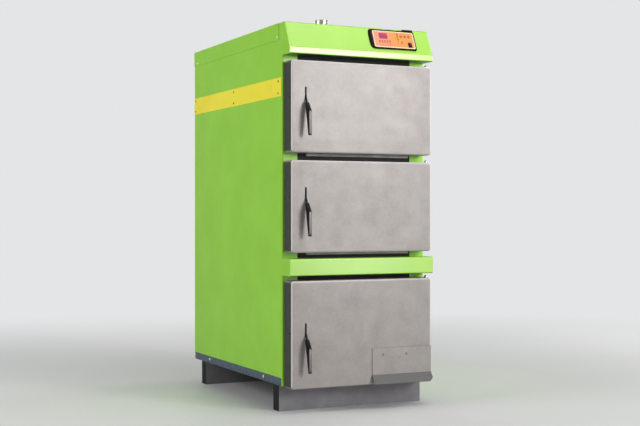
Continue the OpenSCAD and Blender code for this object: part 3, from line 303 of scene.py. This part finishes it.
FINISHES = {
    # Powder coated sheet of the casing: bright green, satin
    "green_paint": powder_coat("green_powder_coat", "#9ADA3E", "#93D237"),
    # Enamelled strip: a clean yellow, a little smoother than the powder coat
    "yellow_band": powder_coat("yellow_band_enamel", "#FFF237", "#FBE92C", rough=0.3),
    # Stoved enamel on small heads: near white, and smooth enough to catch the lamps
    "white_screw": paint("white_screw_enamel", "#ECECE8", "#DEDEDA", 0.32, depth_mm=0.02),
    # Lacquered rivets: dull and dark
    "dark_rivet": paint("dark_rivet_lacquer", "#3E3E3C", "#2E2E2C", 0.4, depth_mm=0.02),
    # Primer on channel: dull mid grey, with painted shade that makes the faces looking left and right nearly
    # black
    "dark_steel": paint("leg_primer_painted_shade", "#868487", "#787679", 0.55, 3.0, 0.08, sheen=0.2, ends="#101010"),
    # Hot dip galvanising: bluish grey with a spangle of 7 mm
    "galvanised": zinc("galvanised_strip", "#6C7A8C", "#5B6778", 7.0, 0.44),
    # Boiler plate: brown grey mill scale
    "boiler_steel": steel("boiler_plate", "#5A5552", "#3E3A38", 45, 0.55, 0.75),
    # Bare rolled frames and damper: a lighter, cleaner steel
    "frame_steel": steel("bare_frame_steel", "#8F8B87", "#726E6B", 60, 0.5, 0.6, 0.06),
    # Flat black paint: hardly any sheen, so that the gaps between the doors stay dark
    "black_steel": paint("black_steel_paint", "#161617", "#0F0F10", 0.55, sheen=0.2),
    # Plated zinc: its crystals are too fine to see and are drawn at 3 mm, so that they show
    "zinc": zinc("bright_zinc", "#B2B1AD", "#949492", 3.0, 0.3),
    # Sand cast iron: dark, with a coarse pitted skin
    "cast_iron": steel("cast_iron", "#45403D", "#2C2927", 20, 0.68, 0.6, 0.4),
    "firebrick": chamotte("fired_clay"),
    # The wool's fibres are too fine to see and are drawn in tufts of 4 mm
    "wool": fibre("mineral_wool", "#D9BE78", "#9A7E44", 4.0),
    # Glass fibre yarn: off-white and matt, in strands of 1.6 mm
    "rope": fibre("glass_fibre_yarn", "#ECE7DA", "#B8B09C", 1.6),
    # Turned steel: pale and nearly smooth
    "pipe_steel": steel("turned_pipe_steel", "#B4B1AA", "#94918B", 30, 0.34, 0.95, 0.05),
    # Moulded ABS: deep black with a fine spark grain
    "black_plastic": paint("moulded_black_plastic", "#0E0D0F", "#09090A", 0.45, 0.8, 0.04, sheen=0.14),
    "orange_face": printed_foil("orange_panel_foil"),
    "display": tinted_window("magenta_display"),
    # Moulded key caps: even brown with a soft shine
    "key_brown": paint("brown_key_cap", "#A86430", "#945426", 0.42, depth_mm=0.03),
    "grey_lacquer": hammered_lacquer("silver_lacquer_painted_light"),
}
# Glossier powder coat of the hood and the bar, which mirror the lamps and look paler for it; painted shade
# darkens their faces that look down
GLOSS_GREEN = powder_coat("green_gloss_coat_painted_shade", "#9BCF3F", "#94C838", gloss=1.0, under="#2F4A16")
# The door lacquer again, with painted shade on the flap's lip
FLAP_LACQUER_SHADED_LIP = hammered_lacquer("flap_lacquer_painted_lip_shade", lip=True)
# Screen printed inks on the foil: flat and even
CREAM = paint("cream_print", "#FBEBD2", "#F4E0C2", 0.4, depth_mm=0.01)
BROWN_PRINT = paint("brown_print", "#A4622C", "#8C4F20", 0.45, depth_mm=0.01)
ROSE_PRINT = paint("rose_print", "#AC5550", "#9C4A47", 0.45, depth_mm=0.01)
# Smoked polycarbonate: dark red and glossy
RED_ROCKER = paint("smoked_red_rocker", "#4E1518", "#3C0E12", 0.25, depth_mm=0.02, coat=0.3)
# Bright plated pins with nearly white domes
PIN_ZINC = zinc("hinge_pin_zinc", "#E6E5E0", "#CFCFCB", 3.0, 0.22, blued=-20)
# Black lacquer on flat bar: dull, with hardly any sheen
LEVER_BLACK = paint("black_lever_lacquer", "#121111", "#0B0B0B", 0.5, depth_mm=0.03, sheen=0.2)
# Lacquer over ground welds: darker and rougher than the flap round them
SPOT_GREY = paint("weld_spot_lacquer", "#7A7572", "#635F5C", 0.4, 1.2, 0.1)
# Galvanised sheet of the ash pan: a plainer grey with a spangle of 9 mm
PAN_ZINC = zinc("ash_pan_zinc", "#8E9193", "#74787B", 9.0, 0.46)
# Satin ground inlay: warm grey, with painted shade toward its lower end
GRIP_INLAY = steel("satin_grip_inlay_painted_shade", "#948D8A", "#7E7673", 14, 0.5, 0.35, 0.03, foot="#625A56")
# Weld metal with its scale: glints between dark ripples
SCALED = steel("weld_bead_steel", "#6C6866", "#46423F", 6, 0.45, 0.85, 0.15)
# Nodes that look different from the rest of their slot
OWN_FINISH = {
    "hood_panel": GLOSS_GREEN,
    "middle_bar": GLOSS_GREEN,
    "air_flap": FLAP_LACQUER_SHADED_LIP,
    "rocker_switch": RED_ROCKER,
    "ash_pan": PAN_ZINC,
    **{"door_pins_" + door: PIN_ZINC for door in DOORS},
    **{"latch_lever_" + door: LEVER_BLACK for door in DOORS},
}


def clothe_cad():
    """Gives every CAD node its own finish, or that of its slot in the record."""
    for row in frame["record"]["subparts"]:
        mesh = frame["nodes"][row["node"]].data
        mesh.materials.clear()
        mesh.materials.append(OWN_FINISH.get(row["node"], FINISHES[row["material_slot"]]))


# Building pieces
AXES = {
    "+x": Matrix(((0, 0, 1), (1, 0, 0), (0, 1, 0))),
    "-x": Matrix(((0, 0, -1), (0, 1, 0), (1, 0, 0))),
    "+y": Matrix(((1, 0, 0), (0, 0, 1), (0, -1, 0))),
    "-y": Matrix(((1, 0, 0), (0, 0, -1), (0, 1, 0))),
    "+z": Matrix.Identity(3),
}


def piece(name, bm, material, body, replaces=()):
    """Turns a bmesh in frame metres into a named piece that rides on a body."""
    bmesh.ops.remove_doubles(bm, verts=bm.verts, dist=1e-7)
    bmesh.ops.recalc_face_normals(bm, faces=bm.faces)
    mesh = bpy.data.meshes.new(name)
    bm.to_mesh(mesh)
    bm.free()
    for face in mesh.polygons:
        face.use_smooth = True
    mesh.set_sharp_from_angle(angle=math.radians(38))
    mesh.materials.append(material)
    made = bpy.data.objects.new(name, mesh)
    bpy.context.scene.collection.objects.link(made)
    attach(made, body)
    if replaces:
        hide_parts(*replaces)


def circle(steps):
    """The angles of evenly spaced points round a circle."""
    return [2 * math.pi * k / steps for k in range(steps)]


def along(a, b, share):
    """The point at this share of the way between two points of an outline."""
    return a[0] + (b[0] - a[0]) * share, a[1] + (b[1] - a[1]) * share


def loft(bm, rings, closed=False, caps=True):
    """Skins rings of equal length; closed joins the last to the first."""
    rows = [[bm.verts.new(p) for p in ring] for ring in rings]
    n = len(rows[0])
    pairs = list(zip(rows, rows[1:])) + ([(rows[-1], rows[0])] if closed else [])
    for a, b in pairs:
        for k in range(n):
            bm.faces.new((a[k], a[(k + 1) % n], b[(k + 1) % n], b[k]))
    if caps and not closed:
        bm.faces.new(rows[0][::-1])
        bm.faces.new(rows[-1])
    return rows


def turned(bm, profile, centre, axis, steps=32, caps=True):
    """Revolves (radius, height) pairs in millimetres round an axis through a point in frame metres."""
    turn = AXES[axis]
    rings = [[centre + turn @ (Vector((r * math.cos(a), r * math.sin(a), h)) * MM) for a in circle(steps)]
             for r, h in profile]
    return loft(bm, rings, caps=caps)


def rounded_outline(w, h, radii, steps, extra=0):
    """Points of a rectangle round the middle, with extra ones on its straight edges if asked for.
    The radii go from the lower left anticlockwise."""
    corners = []
    for (sx, sy, start), r in zip(((-1, -1, 180), (1, -1, 270), (1, 1, 0), (-1, 1, 90)), radii):
        for k in range(steps + 1):
            a = math.radians(start + 90 * k / steps)
            corners.append((sx * (w / 2 - r) + r * math.cos(a), sy * (h / 2 - r) + r * math.sin(a)))
    full = []
    for k, (a, b) in enumerate(zip(corners, corners[1:] + corners[:1])):
        full.append(a)
        if k % (steps + 1) == steps:
            full += [along(a, b, j / (extra + 1)) for j in range(1, extra + 1)]
    return full


# Fasteners
def cross_recess(bm, centre, axis, top_h, rim, steps):
    """The flat top of a screw head, out to its rim, with a cross sunk into it."""
    turn = AXES[axis]
    arm, half, depth, taper = 3.1, 0.55, 1.6, 0.7

    def put(x, y, h):
        return bm.verts.new(centre + turn @ (Vector((x, y, h)) * MM))
    edge = [put(rim * math.cos(a), rim * math.sin(a), top_h) for a in circle(steps)]
    cross = [(arm, -half), (arm, half), (half, half), (half, arm), (-half, arm), (-half, half),
             (-arm, half), (-arm, -half), (-half, -half), (-half, -arm), (half, -arm), (half, -half)]
    upper = [put(x, y, top_h) for x, y in cross]
    lower = [put(x * taper, y * taper, top_h - depth) for x, y in cross]
    edges = []
    for ring in (edge, upper):
        edges += [bm.edges.new((ring[k], ring[(k + 1) % len(ring)])) for k in range(len(ring))]
    bmesh.ops.triangle_fill(bm, use_beauty=True, edges=edges)
    n = len(cross)
    for k in range(n):
        bm.faces.new((upper[k], upper[(k + 1) % n], lower[(k + 1) % n], lower[k]))
    bm.faces.new(lower)


def pan_screw(bm, centre, axis):
    """A white pan head screw: a crowned head with its cross and a short shank behind the sheet."""
    steps, rim, head_h = 32, 3.6, 3.0
    profile = [(2.35, -9), (2.35, 0), (6, 0), (6, 1.0), (5.7, 1.9), (4.9, 2.6), (rim, head_h)]
    rows = turned(bm, profile, centre, axis, steps, caps=False)
    bm.faces.new(rows[0][::-1])
    cross_recess(bm, centre, axis, head_h, rim, steps)


def casing_screws():
    """Two screws in the cover's flap and two in the bare strip, on each side."""
    cover_front, cover_rear, cover_drop, cover_lift = 37, 41, 52, 0.2
    rail_front, rail_rear, rail_z = 178, 185, 112
    bm = bmesh.new()
    for side, axis in SIDES:
        for y in (cover_front, CASING_D - cover_rear):
            pan_screw(bm, at(side * (HALF_W + cover_lift + SHEET), y, TOP - cover_drop), axis)
        for y in (rail_front, CASING_D - rail_rear):
            pan_screw(bm, at(side * (HALF_W - SHEET), y, rail_z), axis)
    piece("casing_screw_heads", bm, FINISHES["white_screw"], "casing", ("casing_screws",))


def band_rivets():
    """Blind rivets: a domed flange with the hollow where the mandrel broke off."""
    flange_r, flange_h, edge_h, dome_steps = 4, 1.6, 0.608, 5
    shank = [(2.3, -5), (2.3, 0), (flange_r, 0), (flange_r, edge_h)]
    crown = []
    for k in range(1, dome_steps):
        t = math.pi / 2 * k / (dome_steps + 1)
        crown.append((flange_r * math.cos(t), edge_h + (flange_h - edge_h) * math.sin(t)))
    hollow = [(1.3, 1.55), (1.1, 1.5), (1.1, 0.5), (0.5, 0.4)]
    band_drop, band_h, band_t, inset = 202, 70, 1, 12.5
    first, last = 33, 15
    bm = bmesh.new()
    for side, axis in SIDES:
        for y in (first, (CASING_D + last) / 2, CASING_D - last):
            for z in (TOP - band_drop - inset, TOP - band_drop - band_h + inset):
                turned(bm, shank + crown + hollow, at(side * (HALF_W + band_t), y, z), axis)
    piece("band_rivet_heads", bm, FINISHES["dark_rivet"], "casing", ("band_rivets",))


# Latches
def grip_body(low, high):
    """The moulded grip: a wedge under the lever whose front stands upright, with rounded edges."""
    top_d, shoulder, lean, toe_d = 11, 30, 1, 7
    side = [(high.y, high.z), (high.y - top_d, high.z), (low.y + lean, high.z - shoulder),
            (low.y, low.z), (low.y + toe_d, low.z)]
    bm = bmesh.new()
    loft(bm, [[at(x, y, z) for y, z in side] for x in (low.x, high.x)])
    bmesh.ops.bevel(bm, geom=list(bm.edges), offset=1.8 * MM, segments=3, affect="EDGES", profile=0.5)
    return bm


def grip_inlay(low, high):
    """The inlay on the grip's front: arched across, and narrower at both ends."""
    mid, half, top, foot = (low.x + high.x) / 2, 4.8, high.z - 33, low.z + 5
    slope = 1 / (high.z - 30 - low.z)
    arch, sunk, end_share = 1.1, 1.5, 0.6
    rows, columns = 12, 10
    rings = []
    for k in range(rows + 1):
        z = top + (foot - top) * k / rows
        narrow = 1 if 0 < k < rows else end_share
        ring = []
        for j in range(columns + 1):
            t = -1 + 2 * j / columns
            ring.append(at(mid + t * half * narrow,
                           low.y + (z - low.z) * slope - arch * (1 - t * t) * narrow, z))
        back = [at(mid + side * half * narrow, low.y + sunk, z) for side in (1, -1)]
        rings.append(ring + back)
    bm = bmesh.new()
    loft(bm, rings)
    return bm


def latch_grips():
    """Moulded black grips with a satin steel inlay let into their upright front."""
    for door in DOORS:
        low, high = box_mm("latch_grip_" + door)
        piece("grip_" + door, grip_body(low, high), FINISHES["black_plastic"], "latch_" + door,
              ("latch_grip_" + door,))
        piece("grip_inlay_" + door, grip_inlay(low, high), GRIP_INLAY, "latch_" + door)


# Seals and bricks
def rope_path(w, h):
    """The rope's middle line as (across, up, length so far) in steps of about 3 mm, and its length."""
    corner_r, corner_steps, step = 7, 5, 3.0
    corners = rounded_outline(w, h, (corner_r,) * 4, corner_steps)
    dense = []
    total = 0.0
    for p, q in zip(corners, corners[1:] + corners[:1]):
        length = math.dist(p, q)
        count = max(1, round(length / step))
        dense += [(*along(p, q, j / count), total + length * j / count) for j in range(count)]
        total += length
    return dense, total


def rope_section(gone, w, d):
    """The rope's outline where this share of a plait has gone by: squarish from being pressed,
    with four strands each way that stand out of it."""
    sides, strands, swell = 16, 4, 0.1
    points = []
    for t in circle(sides):
        c, v = math.cos(t), math.sin(t)
        turn = 2 * math.pi * gone * strands
        braid = abs(math.sin(strands * t + turn)) * abs(math.sin(strands * t - turn))
        square = min(1 / max(abs(c), abs(v)) ** 0.72, 1.22)
        reach = square * (1 - swell + swell * braid)
        across = max(-w / 2, min(w / 2, c * reach * w / 2))
        outward = max(-d / 2, min(d / 2, v * reach * d / 2))
        points.append((across, outward))
    return points


def seal_ropes():
    """Braided glass rope round each door's pan, with the braid's strands standing out of its sides."""
    rope_w, plait = 10.0, 24
    for door in DOORS:
        low, high = box_mm("door_rope_" + door)
        mid = (low + high) / 2
        dense, total = rope_path(high.x - low.x - rope_w, high.z - low.z - rope_w)
        pitch = total / round(total / plait)
        rings = []
        for k, (x, z, gone) in enumerate(dense):
            a, b = dense[k - 1], dense[(k + 1) % len(dense)]
            size = math.hypot(b[0] - a[0], b[1] - a[1])
            out_x, out_z = -(b[1] - a[1]) / size, (b[0] - a[0]) / size
            rings.append([at(mid.x + x + out_x * u, mid.y + y, mid.z + z + out_z * u)
                          for u, y in rope_section(gone / pitch, rope_w, high.y - low.y)])
        bm = bmesh.new()
        loft(bm, rings, closed=True)
        piece("seal_rope_" + door, bm, FINISHES["rope"], "door_" + door, ("door_rope_" + door,))


def brick(bm, low, high):
    """A brick between two corners in millimetres, with its edges worn round."""
    wear = 3
    made = bmesh.ops.create_cube(bm, size=1)["verts"]
    size = [b - a for a, b in zip(low, high)]
    mid = at(*[(a + b) / 2 for a, b in zip(low, high)])
    bmesh.ops.scale(bm, vec=Vector(size) * MM, verts=made)
    bmesh.ops.translate(bm, vec=mid, verts=made)
    edges = list({e for v in made for e in v.link_edges})
    bmesh.ops.bevel(bm, geom=edges, offset=wear * MM, segments=2, affect="EDGES", profile=0.5)


def fire_bricks():
    """Chamotte bricks laid end to end round the grate: four along each side and two across the rear."""
    low, high = box_mm("firebricks")
    thick, joint, clear = 30, 0.8, 0.3
    along_side, across_rear = 4, 2
    rear = high.y - thick
    bm = bmesh.new()
    step = (rear - joint - low.y) / along_side
    for side in (-1, 1):
        x0, x1 = sorted((side * high.x, side * (high.x - thick + clear)))
        for k in range(along_side):
            brick(bm, (x0, low.y + k * step, low.z), (x1, low.y + (k + 1) * step - joint, high.z))
    step = (high.x - low.x) / across_rear
    for k in range(across_rear):
        brick(bm, (low.x + k * step, rear, low.z), (low.x + (k + 1) * step - joint, high.y, high.z))
    piece("chamotte_bricks", bm, FINISHES["firebrick"], "casing", ("firebricks",))


# Pipes
def threaded_socket(name, node, axis, centre, length):
    """An inch and a half socket on its pipe: a chamfered rim outside and a real thread that
    spirals into its bore. centre is the middle of its mouth."""
    turn, steps = AXES[axis], 56
    bore, outer, pipe_bore, pipe_outer = 22.4, 27.5, 20.5, 24.15
    socket_l, thread_l, pitch, thread_h, turn_parts = 36, 27, 2.309, 1.2, 4
    rings = []

    def ring(radius_of, h):
        places = []
        for k, a in enumerate(circle(steps)):
            r = radius_of(k)
            places.append(centre + turn @ (Vector((r * math.cos(a), r * math.sin(a), h)) * MM))
        rings.append(places)
    for r, h in ((pipe_bore, -length), (pipe_outer, -length), (pipe_outer, -socket_l - 0.2),
                 (outer - 1.2, -socket_l), (outer, -socket_l + 1.2), (outer, -1.5), (outer - 1.5, 0),
                 (bore + 2.0, 0), (bore + 1.2, -0.6)):
        ring(lambda k, r=r: r, h)
    for j in range(int(thread_l / pitch * turn_parts)):
        h = -0.9 - j * pitch / turn_parts

        def thread(k, h=h):
            return bore + thread_h * abs(2 * ((h / pitch + k / steps) % 1) - 1)
        ring(thread, h)
    for r, h in ((bore, -socket_l + 6), (bore, -socket_l), (pipe_bore, -socket_l)):
        ring(lambda k, r=r: r, h)
    bm = bmesh.new()
    loft(bm, rings, closed=True)
    piece(name, bm, FINISHES["pipe_steel"], "casing", (node,))


def pipe_sockets():
    """The supply socket on top and the return socket at the rear."""
    low, high = box_mm("supply_pipe")
    mid = (low + high) / 2
    threaded_socket("supply_socket", "supply_pipe", "+z", at(mid.x, mid.y, high.z), high.z - low.z)
    low, high = box_mm("return_pipe")
    mid = (low + high) / 2
    threaded_socket("return_socket", "return_pipe", "+y", at(mid.x, high.y, mid.z), high.y - low.y)


def weld_bead(bm, start, end):
    """Overlapping weld ripples along a line between two points in frame metres."""
    bead_r, ripple, parts, sides = 2.0, 3.0, 3, 8
    count = max(1, round((end - start).length / (ripple * MM) * parts))
    points = [start.lerp(end, k / count) for k in range(count + 1)]
    rings = []
    for k, p in enumerate(points):
        ahead = (points[min(k + 1, count)] - points[max(k - 1, 0)]).normalized()
        side = ahead.orthogonal().normalized()
        up = ahead.cross(side)
        swell = 0.8 + 0.2 * abs(math.sin(math.pi * k / parts))
        r = bead_r * swell * (0.35 if k in (0, count) else 1)
        rings.append([p + (side * math.cos(t) + up * math.sin(t)) * r * MM for t in circle(sides)])
    loft(bm, rings)


def flue_seam():
    """The longitudinal weld of the flue tube, low on its right side."""
    low, high = box_mm("flue_outlet")
    sunk, first, last = 1.4, 2, 38
    mid_z, r = (low.z + high.z) / 2, (high.x - low.x) / 2 - sunk
    a = math.radians(-52)
    bm = bmesh.new()
    weld_bead(bm, *[at(r * math.cos(a), CASING_D + y, mid_z + r * math.sin(a)) for y in (first, last)])
    piece("flue_seam_weld", bm, SCALED, "casing")


# Controller
# The hood's slope: how far its upper and lower edges reach out of the casing's front, and its fall
HOOD_TOP_REACH = 24.5
HOOD_REACH = 68.7
HOOD_FALL = 98
# The controller's middle, right of the centre line and down the slope, and how far it stands proud
PANEL_X = 139
PANEL_DOWN = 53
PROUD = 8
# A print's underside and face, as heights over the slope
PRINT = (PROUD - 0.1, PROUD + 0.2)


def on_panel(x, y, out):
    """A point on the controller: across, up the slope and outward from the middle of its housing."""
    angle = math.atan((HOOD_REACH - HOOD_TOP_REACH) / HOOD_FALL)
    right = Vector((1, 0, 0))
    up = Vector((0, math.sin(angle), math.cos(angle)))
    outward = Vector((0, -math.cos(angle), math.sin(angle)))
    return at(0, -HOOD_TOP_REACH, TOP) + (right * (PANEL_X + x) + up * (y - PANEL_DOWN) + outward * out) * MM


def panel_form(bm, layers):
    """A closed form over outlines that lie at given heights over the slope."""
    loft(bm, [[on_panel(x, y, out) for x, y in outline] for outline, out in layers])


def stamp(bm, outline, low, high):
    """A flat print with the given outline, between two heights over the slope."""
    panel_form(bm, [(outline, low), (outline, high)])


def border(bm, outer, inner, low, high):
    """A printed frame between two outlines."""
    rings = [[on_panel(x, y, out) for x, y in outline]
             for outline, out in ((outer, low), (outer, high), (inner, high), (inner, low))]
    loft(bm, rings, closed=True)


def shifted(points, dx, dy):
    """An outline moved across and up the panel."""
    return [(x + dx, y + dy) for x, y in points]


def tile(w, h, radius, x, y, steps=3, extra=0):
    """The outline of a rounded tile with its middle at x, y on the panel."""
    return shifted(rounded_outline(w, h, (radius,) * 4, steps, extra), x, y)


def bowed(points, middle_y, half_h):
    """An outline with its left flank bowed out round this height."""
    bow, flank_x = 3.2, -60
    out = []
    for x, y in points:
        share = max(0, 1 - ((y - middle_y) / half_h) ** 2) if x < flank_x else 0
        out.append((x - bow * share, y))
    return out


def controller_case():
    """The black housing with a full, rounded left flank, a round-edged frame and a tab on top."""
    steps, extra = 7, 9
    w, h, lift = 193.6, 84, 2
    outer = bowed(shifted(rounded_outline(w, h, (15, 7, 8, 10), steps, extra), -1.2, lift), lift, h / 2)
    opening = tile(177, 73, 5.5, 1, 0, steps, extra)
    core = tile(175, 68, 3, 0, 0, steps, extra)
    layers = [(core, -24), (core, 0), (outer, 0), (outer, 3.5)]
    # The frame's round edge: shares of the way in to the opening, and heights
    for share, out in ((0.08, 5.2), (0.22, 6.6), (0.42, 7.6), (0.65, PROUD), (0.94, PROUD)):
        layers.append(([along(a, b, share) for a, b in zip(outer, opening)], out))
    layers += [(opening, PROUD - 0.4), (opening, PROUD - 1.98)]
    bm = bmesh.new()
    panel_form(bm, layers)
    tab_x, tab_y = 66, 44 - 7 / 3
    tab = tile(44, 7, 2.2, tab_x, tab_y, 4)
    panel_form(bm, [(tab, PROUD - 1), (tab, PROUD + 4), (tile(42, 5.4, 1.6, tab_x, tab_y, 4), PROUD + 5)])
    piece("controller_case", bm, FINISHES["black_plastic"], "casing",
          ("controller_housing",))


def face_border():
    """A cream line round the face."""
    bm = bmesh.new()
    border(bm, *[tile(176 - 2 * inset, 72 - 2 * inset, 5, 1, 0, 6) for inset in (0.8, 3.4)], *PRINT)
    piece("face_border_print", bm, CREAM, "casing")


def display_prints():
    """A frame round the display, plain signs with dashes in a row under it, and a rule along the foot."""
    bm = bmesh.new()
    display_x, display_y = -43, 14
    border(bm, tile(37, 26, 1.5, display_x, display_y), tile(33.4, 22.4, 0.8, display_x, display_y), *PRINT)
    first, pitch = -62, 11
    for k in range(5):
        x = first + pitch * k
        stamp(bm, tile(6.5, 9, 3 if k % 2 else 0.8, x, -9.5), *PRINT)
        stamp(bm, tile(8, 2, 0.5, x, -17.5, 2), *PRINT)
    stamp(bm, tile(58, 1.1, 0.3, -38, -27, 2), *PRINT)
    piece("display_bezel_print", bm, ROSE_PRINT, "casing")


def sign_prints():
    """Brown marks right of the display: a column of them, rings with dashes round the keys, and a
    flame sign between the keys and the switch, a plain drop with a cut heart."""
    bm = bmesh.new()
    column_x, key_x, key_pitch, key_y, dash_y = 19, 34, 17, 16, 26
    for y, w, h in ((24, 9, 7), (13.5, 6, 10), (3, 8, 5), (-7, 3, 11)):
        stamp(bm, tile(w, h, 1.2, column_x, y), *PRINT)
    for k in range(3):
        x = key_x + key_pitch * k
        stamp(bm, tile(6, 1.6, 0.4, x, dash_y, 2), *PRINT)
        border(bm, tile(12.4, 12.4, 6, x, key_y, 5), tile(10.8, 10.8, 5.3, x, key_y, 5), *PRINT)
    half_w, half_h, pinch, tip = 4.2, 6.4, 0.28, 1.6
    drop = [(half_w * math.sin(t) * (1 - pinch * math.cos(t)),
             -half_h * math.cos(t) + (tip if math.cos(t) < -0.8 else 0)) for t in circle(24)]
    heart = [(x * 0.5, y * 0.5 - 1.6) for x, y in drop]
    border(bm, shifted(drop, key_x, -14), shifted(heart, key_x, -14), *PRINT)
    piece("sign_print", bm, BROWN_PRINT, "casing")


def switch_bezel():
    """A thin black bezel round the rocker switch."""
    bm = bmesh.new()
    stamp(bm, tile(17, 22.6, 1.2, 67, -20), *PRINT)
    piece("switch_bezel", bm, FINISHES["black_plastic"], "casing")


# Flap
def plug_welds():
    """Ground spots on the flap where its ears are welded through from behind."""
    face_y = box_mm("door_shell_lower")[0].y - 0.3 - 3
    z = box_mm("air_flap")[1].z - 30.5
    profile = [(5.2, -0.4), (5.2, 0), (4.6, 0.22), (3.2, 0.4), (1.4, 0.5)]
    bm = bmesh.new()
    for x in (83, 183):
        turned(bm, profile, at(x, face_y, z), "-y", 24)
    piece("flap_plug_welds", bm, SPOT_GREY, "flap")


# Studio
# The surround that the eye meets, and how much of it gloss mirrors
PALE = "#E4E5E6"
PALE_LEVEL = 1.0
GLOSS_SHARE = 0.45
# Each lamp's name, place, target, width, height and watts; places and sizes are in metres
LAMPS = (
    ("tall_softbox", (1.75, -3.9, 1.5), (0, -0.4, 1.15), 0.8, 1.9, 41),
    ("low_softbox", (1.7, -3.9, 0.36), (0, -0.5, 0.53), 0.7, 0.4, 10),
    ("side_softbox", (-3.6, -0.3, 1.9), (-0.3, 0.0, 1.0), 1.8, 1.8, 60),
    ("right_softbox", (3.6, 0.9, 1.7), (0.3, 0.1, 0.8), 1.8, 1.8, 42),
    ("top_softbox", (0.6, -1.5, 4.1), (0, -0.1, 1.0), 2.2, 2.2, 47),
    ("rear_softbox", (0.6, 4.4, 1.9), (0, 0.4, 0.8), 1.8, 1.8, 34),
)


def area_light(name, place, target, width, height, watts, spread=180):
    data = bpy.data.lights.new(name, "AREA")
    data.shape = "RECTANGLE"
    data.size = width
    data.size_y = height
    data.energy = watts
    data.spread = math.radians(spread)
    lamp = bpy.data.objects.new(name, data)
    lamp.location = place
    lamp.rotation_euler = (Vector(target) - Vector(place)).to_track_quat("-Z", "Y").to_euler()
    bpy.context.scene.collection.objects.link(lamp)


def seen_rays(tree):
    """1 for the rays that show the pale surround to the eye, and part of it for the ones of gloss."""
    rays = add(tree, "ShaderNodeLightPath")
    seen = add(tree, "ShaderNodeMath", {"operation": "MULTIPLY"}, {
        0: rays.outputs["Is Glossy Ray"], 1: GLOSS_SHARE}).outputs[0]
    for other in ("Is Camera Ray", "Is Transmission Ray"):
        seen = add(tree, "ShaderNodeMath", {"operation": "MAXIMUM"}, {
            0: seen, 1: rays.outputs[other]}).outputs[0]
    return seen


def floor():
    """A pale matt floor that fades into the surround further out."""
    bm = bmesh.new()
    bmesh.ops.create_circle(bm, cap_ends=True, segments=96, radius=30)
    mesh = bpy.data.meshes.new("studio_floor")
    bm.to_mesh(mesh)
    bm.free()
    made = bpy.data.objects.new("studio_floor", mesh)
    bpy.context.scene.collection.objects.link(made)
    material, tree, surface, place = finish("pale_floor", {"Roughness": 0.75})
    dress(tree, surface, coats(tree, "#D8D8D7", ("#D4D4D3", clouds(tree, place, 900, 2))))
    away = add(tree, "ShaderNodeVectorMath", {"operation": "LENGTH"}, {0: place}).outputs["Value"]
    away = add(tree, "ShaderNodeMapRange", {"interpolation_type": "SMOOTHSTEP"},
               {"Value": away, "From Min": 1.1, "From Max": 4.2}).outputs[0]
    share = add(tree, "ShaderNodeMath", {"operation": "MULTIPLY"}, {0: away, 1: seen_rays(tree)}).outputs[0]
    glow = add(tree, "ShaderNodeEmission", inputs={"Color": PALE, "Strength": PALE_LEVEL})
    mixed = add(tree, "ShaderNodeMixShader", inputs={0: share, 1: surface.outputs[0], 2: glow.outputs[0]})
    out = next(node for node in tree.nodes if node.type == "OUTPUT_MATERIAL")
    tree.links.new(mixed.outputs[0], out.inputs["Surface"])
    mesh.materials.append(material)


def surround():
    """Soft light from all round, and the pale surround for the rays that show it."""
    world = bpy.data.worlds.new("studio")
    bpy.context.scene.world = world
    world.use_nodes = True
    tree = world.node_tree
    tree.nodes.clear()
    soft = add(tree, "ShaderNodeBackground", inputs={"Color": "#F2F4F6", "Strength": 0.24})
    back = add(tree, "ShaderNodeBackground", inputs={"Color": PALE, "Strength": PALE_LEVEL})
    mixed = add(tree, "ShaderNodeMixShader", inputs={
        0: seen_rays(tree), 1: soft.outputs[0], 2: back.outputs[0]})
    add(tree, "ShaderNodeOutputWorld", inputs={"Surface": mixed.outputs[0]})


def studio():
    """The floor, the surround and the lamps. The narrow key lamp throws the grips' shadows."""
    floor()
    surround()
    area_light("key_softbox", (1.5, -4.2, 1.9), (0, -0.4, 1.75), 1.3, 1.3, 15, spread=70)
    for lamp in LAMPS:
        area_light(*lamp)


def camera():
    """The photograph's viewpoint, solved from the casing's edges: level, to the left of the boiler
    and turned toward it."""
    data = bpy.data.cameras.new("photo_camera")
    data.lens = 67.7
    data.sensor_width = 36.0
    left, ahead, height, turn = 2.078, 4.055, 0.734, 25.486
    made = bpy.data.objects.new("photo_camera", data)
    made.location = (-left, FRONT_Y - ahead, height)
    made.rotation_euler = (math.radians(90), 0, math.radians(-turn))
    bpy.context.scene.collection.objects.link(made)
    bpy.context.scene.camera = made


camera()
studio()
clothe_cad()
casing_screws()
band_rivets()
latch_grips()
seal_ropes()
fire_bricks()
pipe_sockets()
flue_seam()
controller_case()
face_border()
display_prints()
sign_prints()
switch_bezel()
plug_welds()
bpy.context.scene.view_settings.view_transform = "Standard"
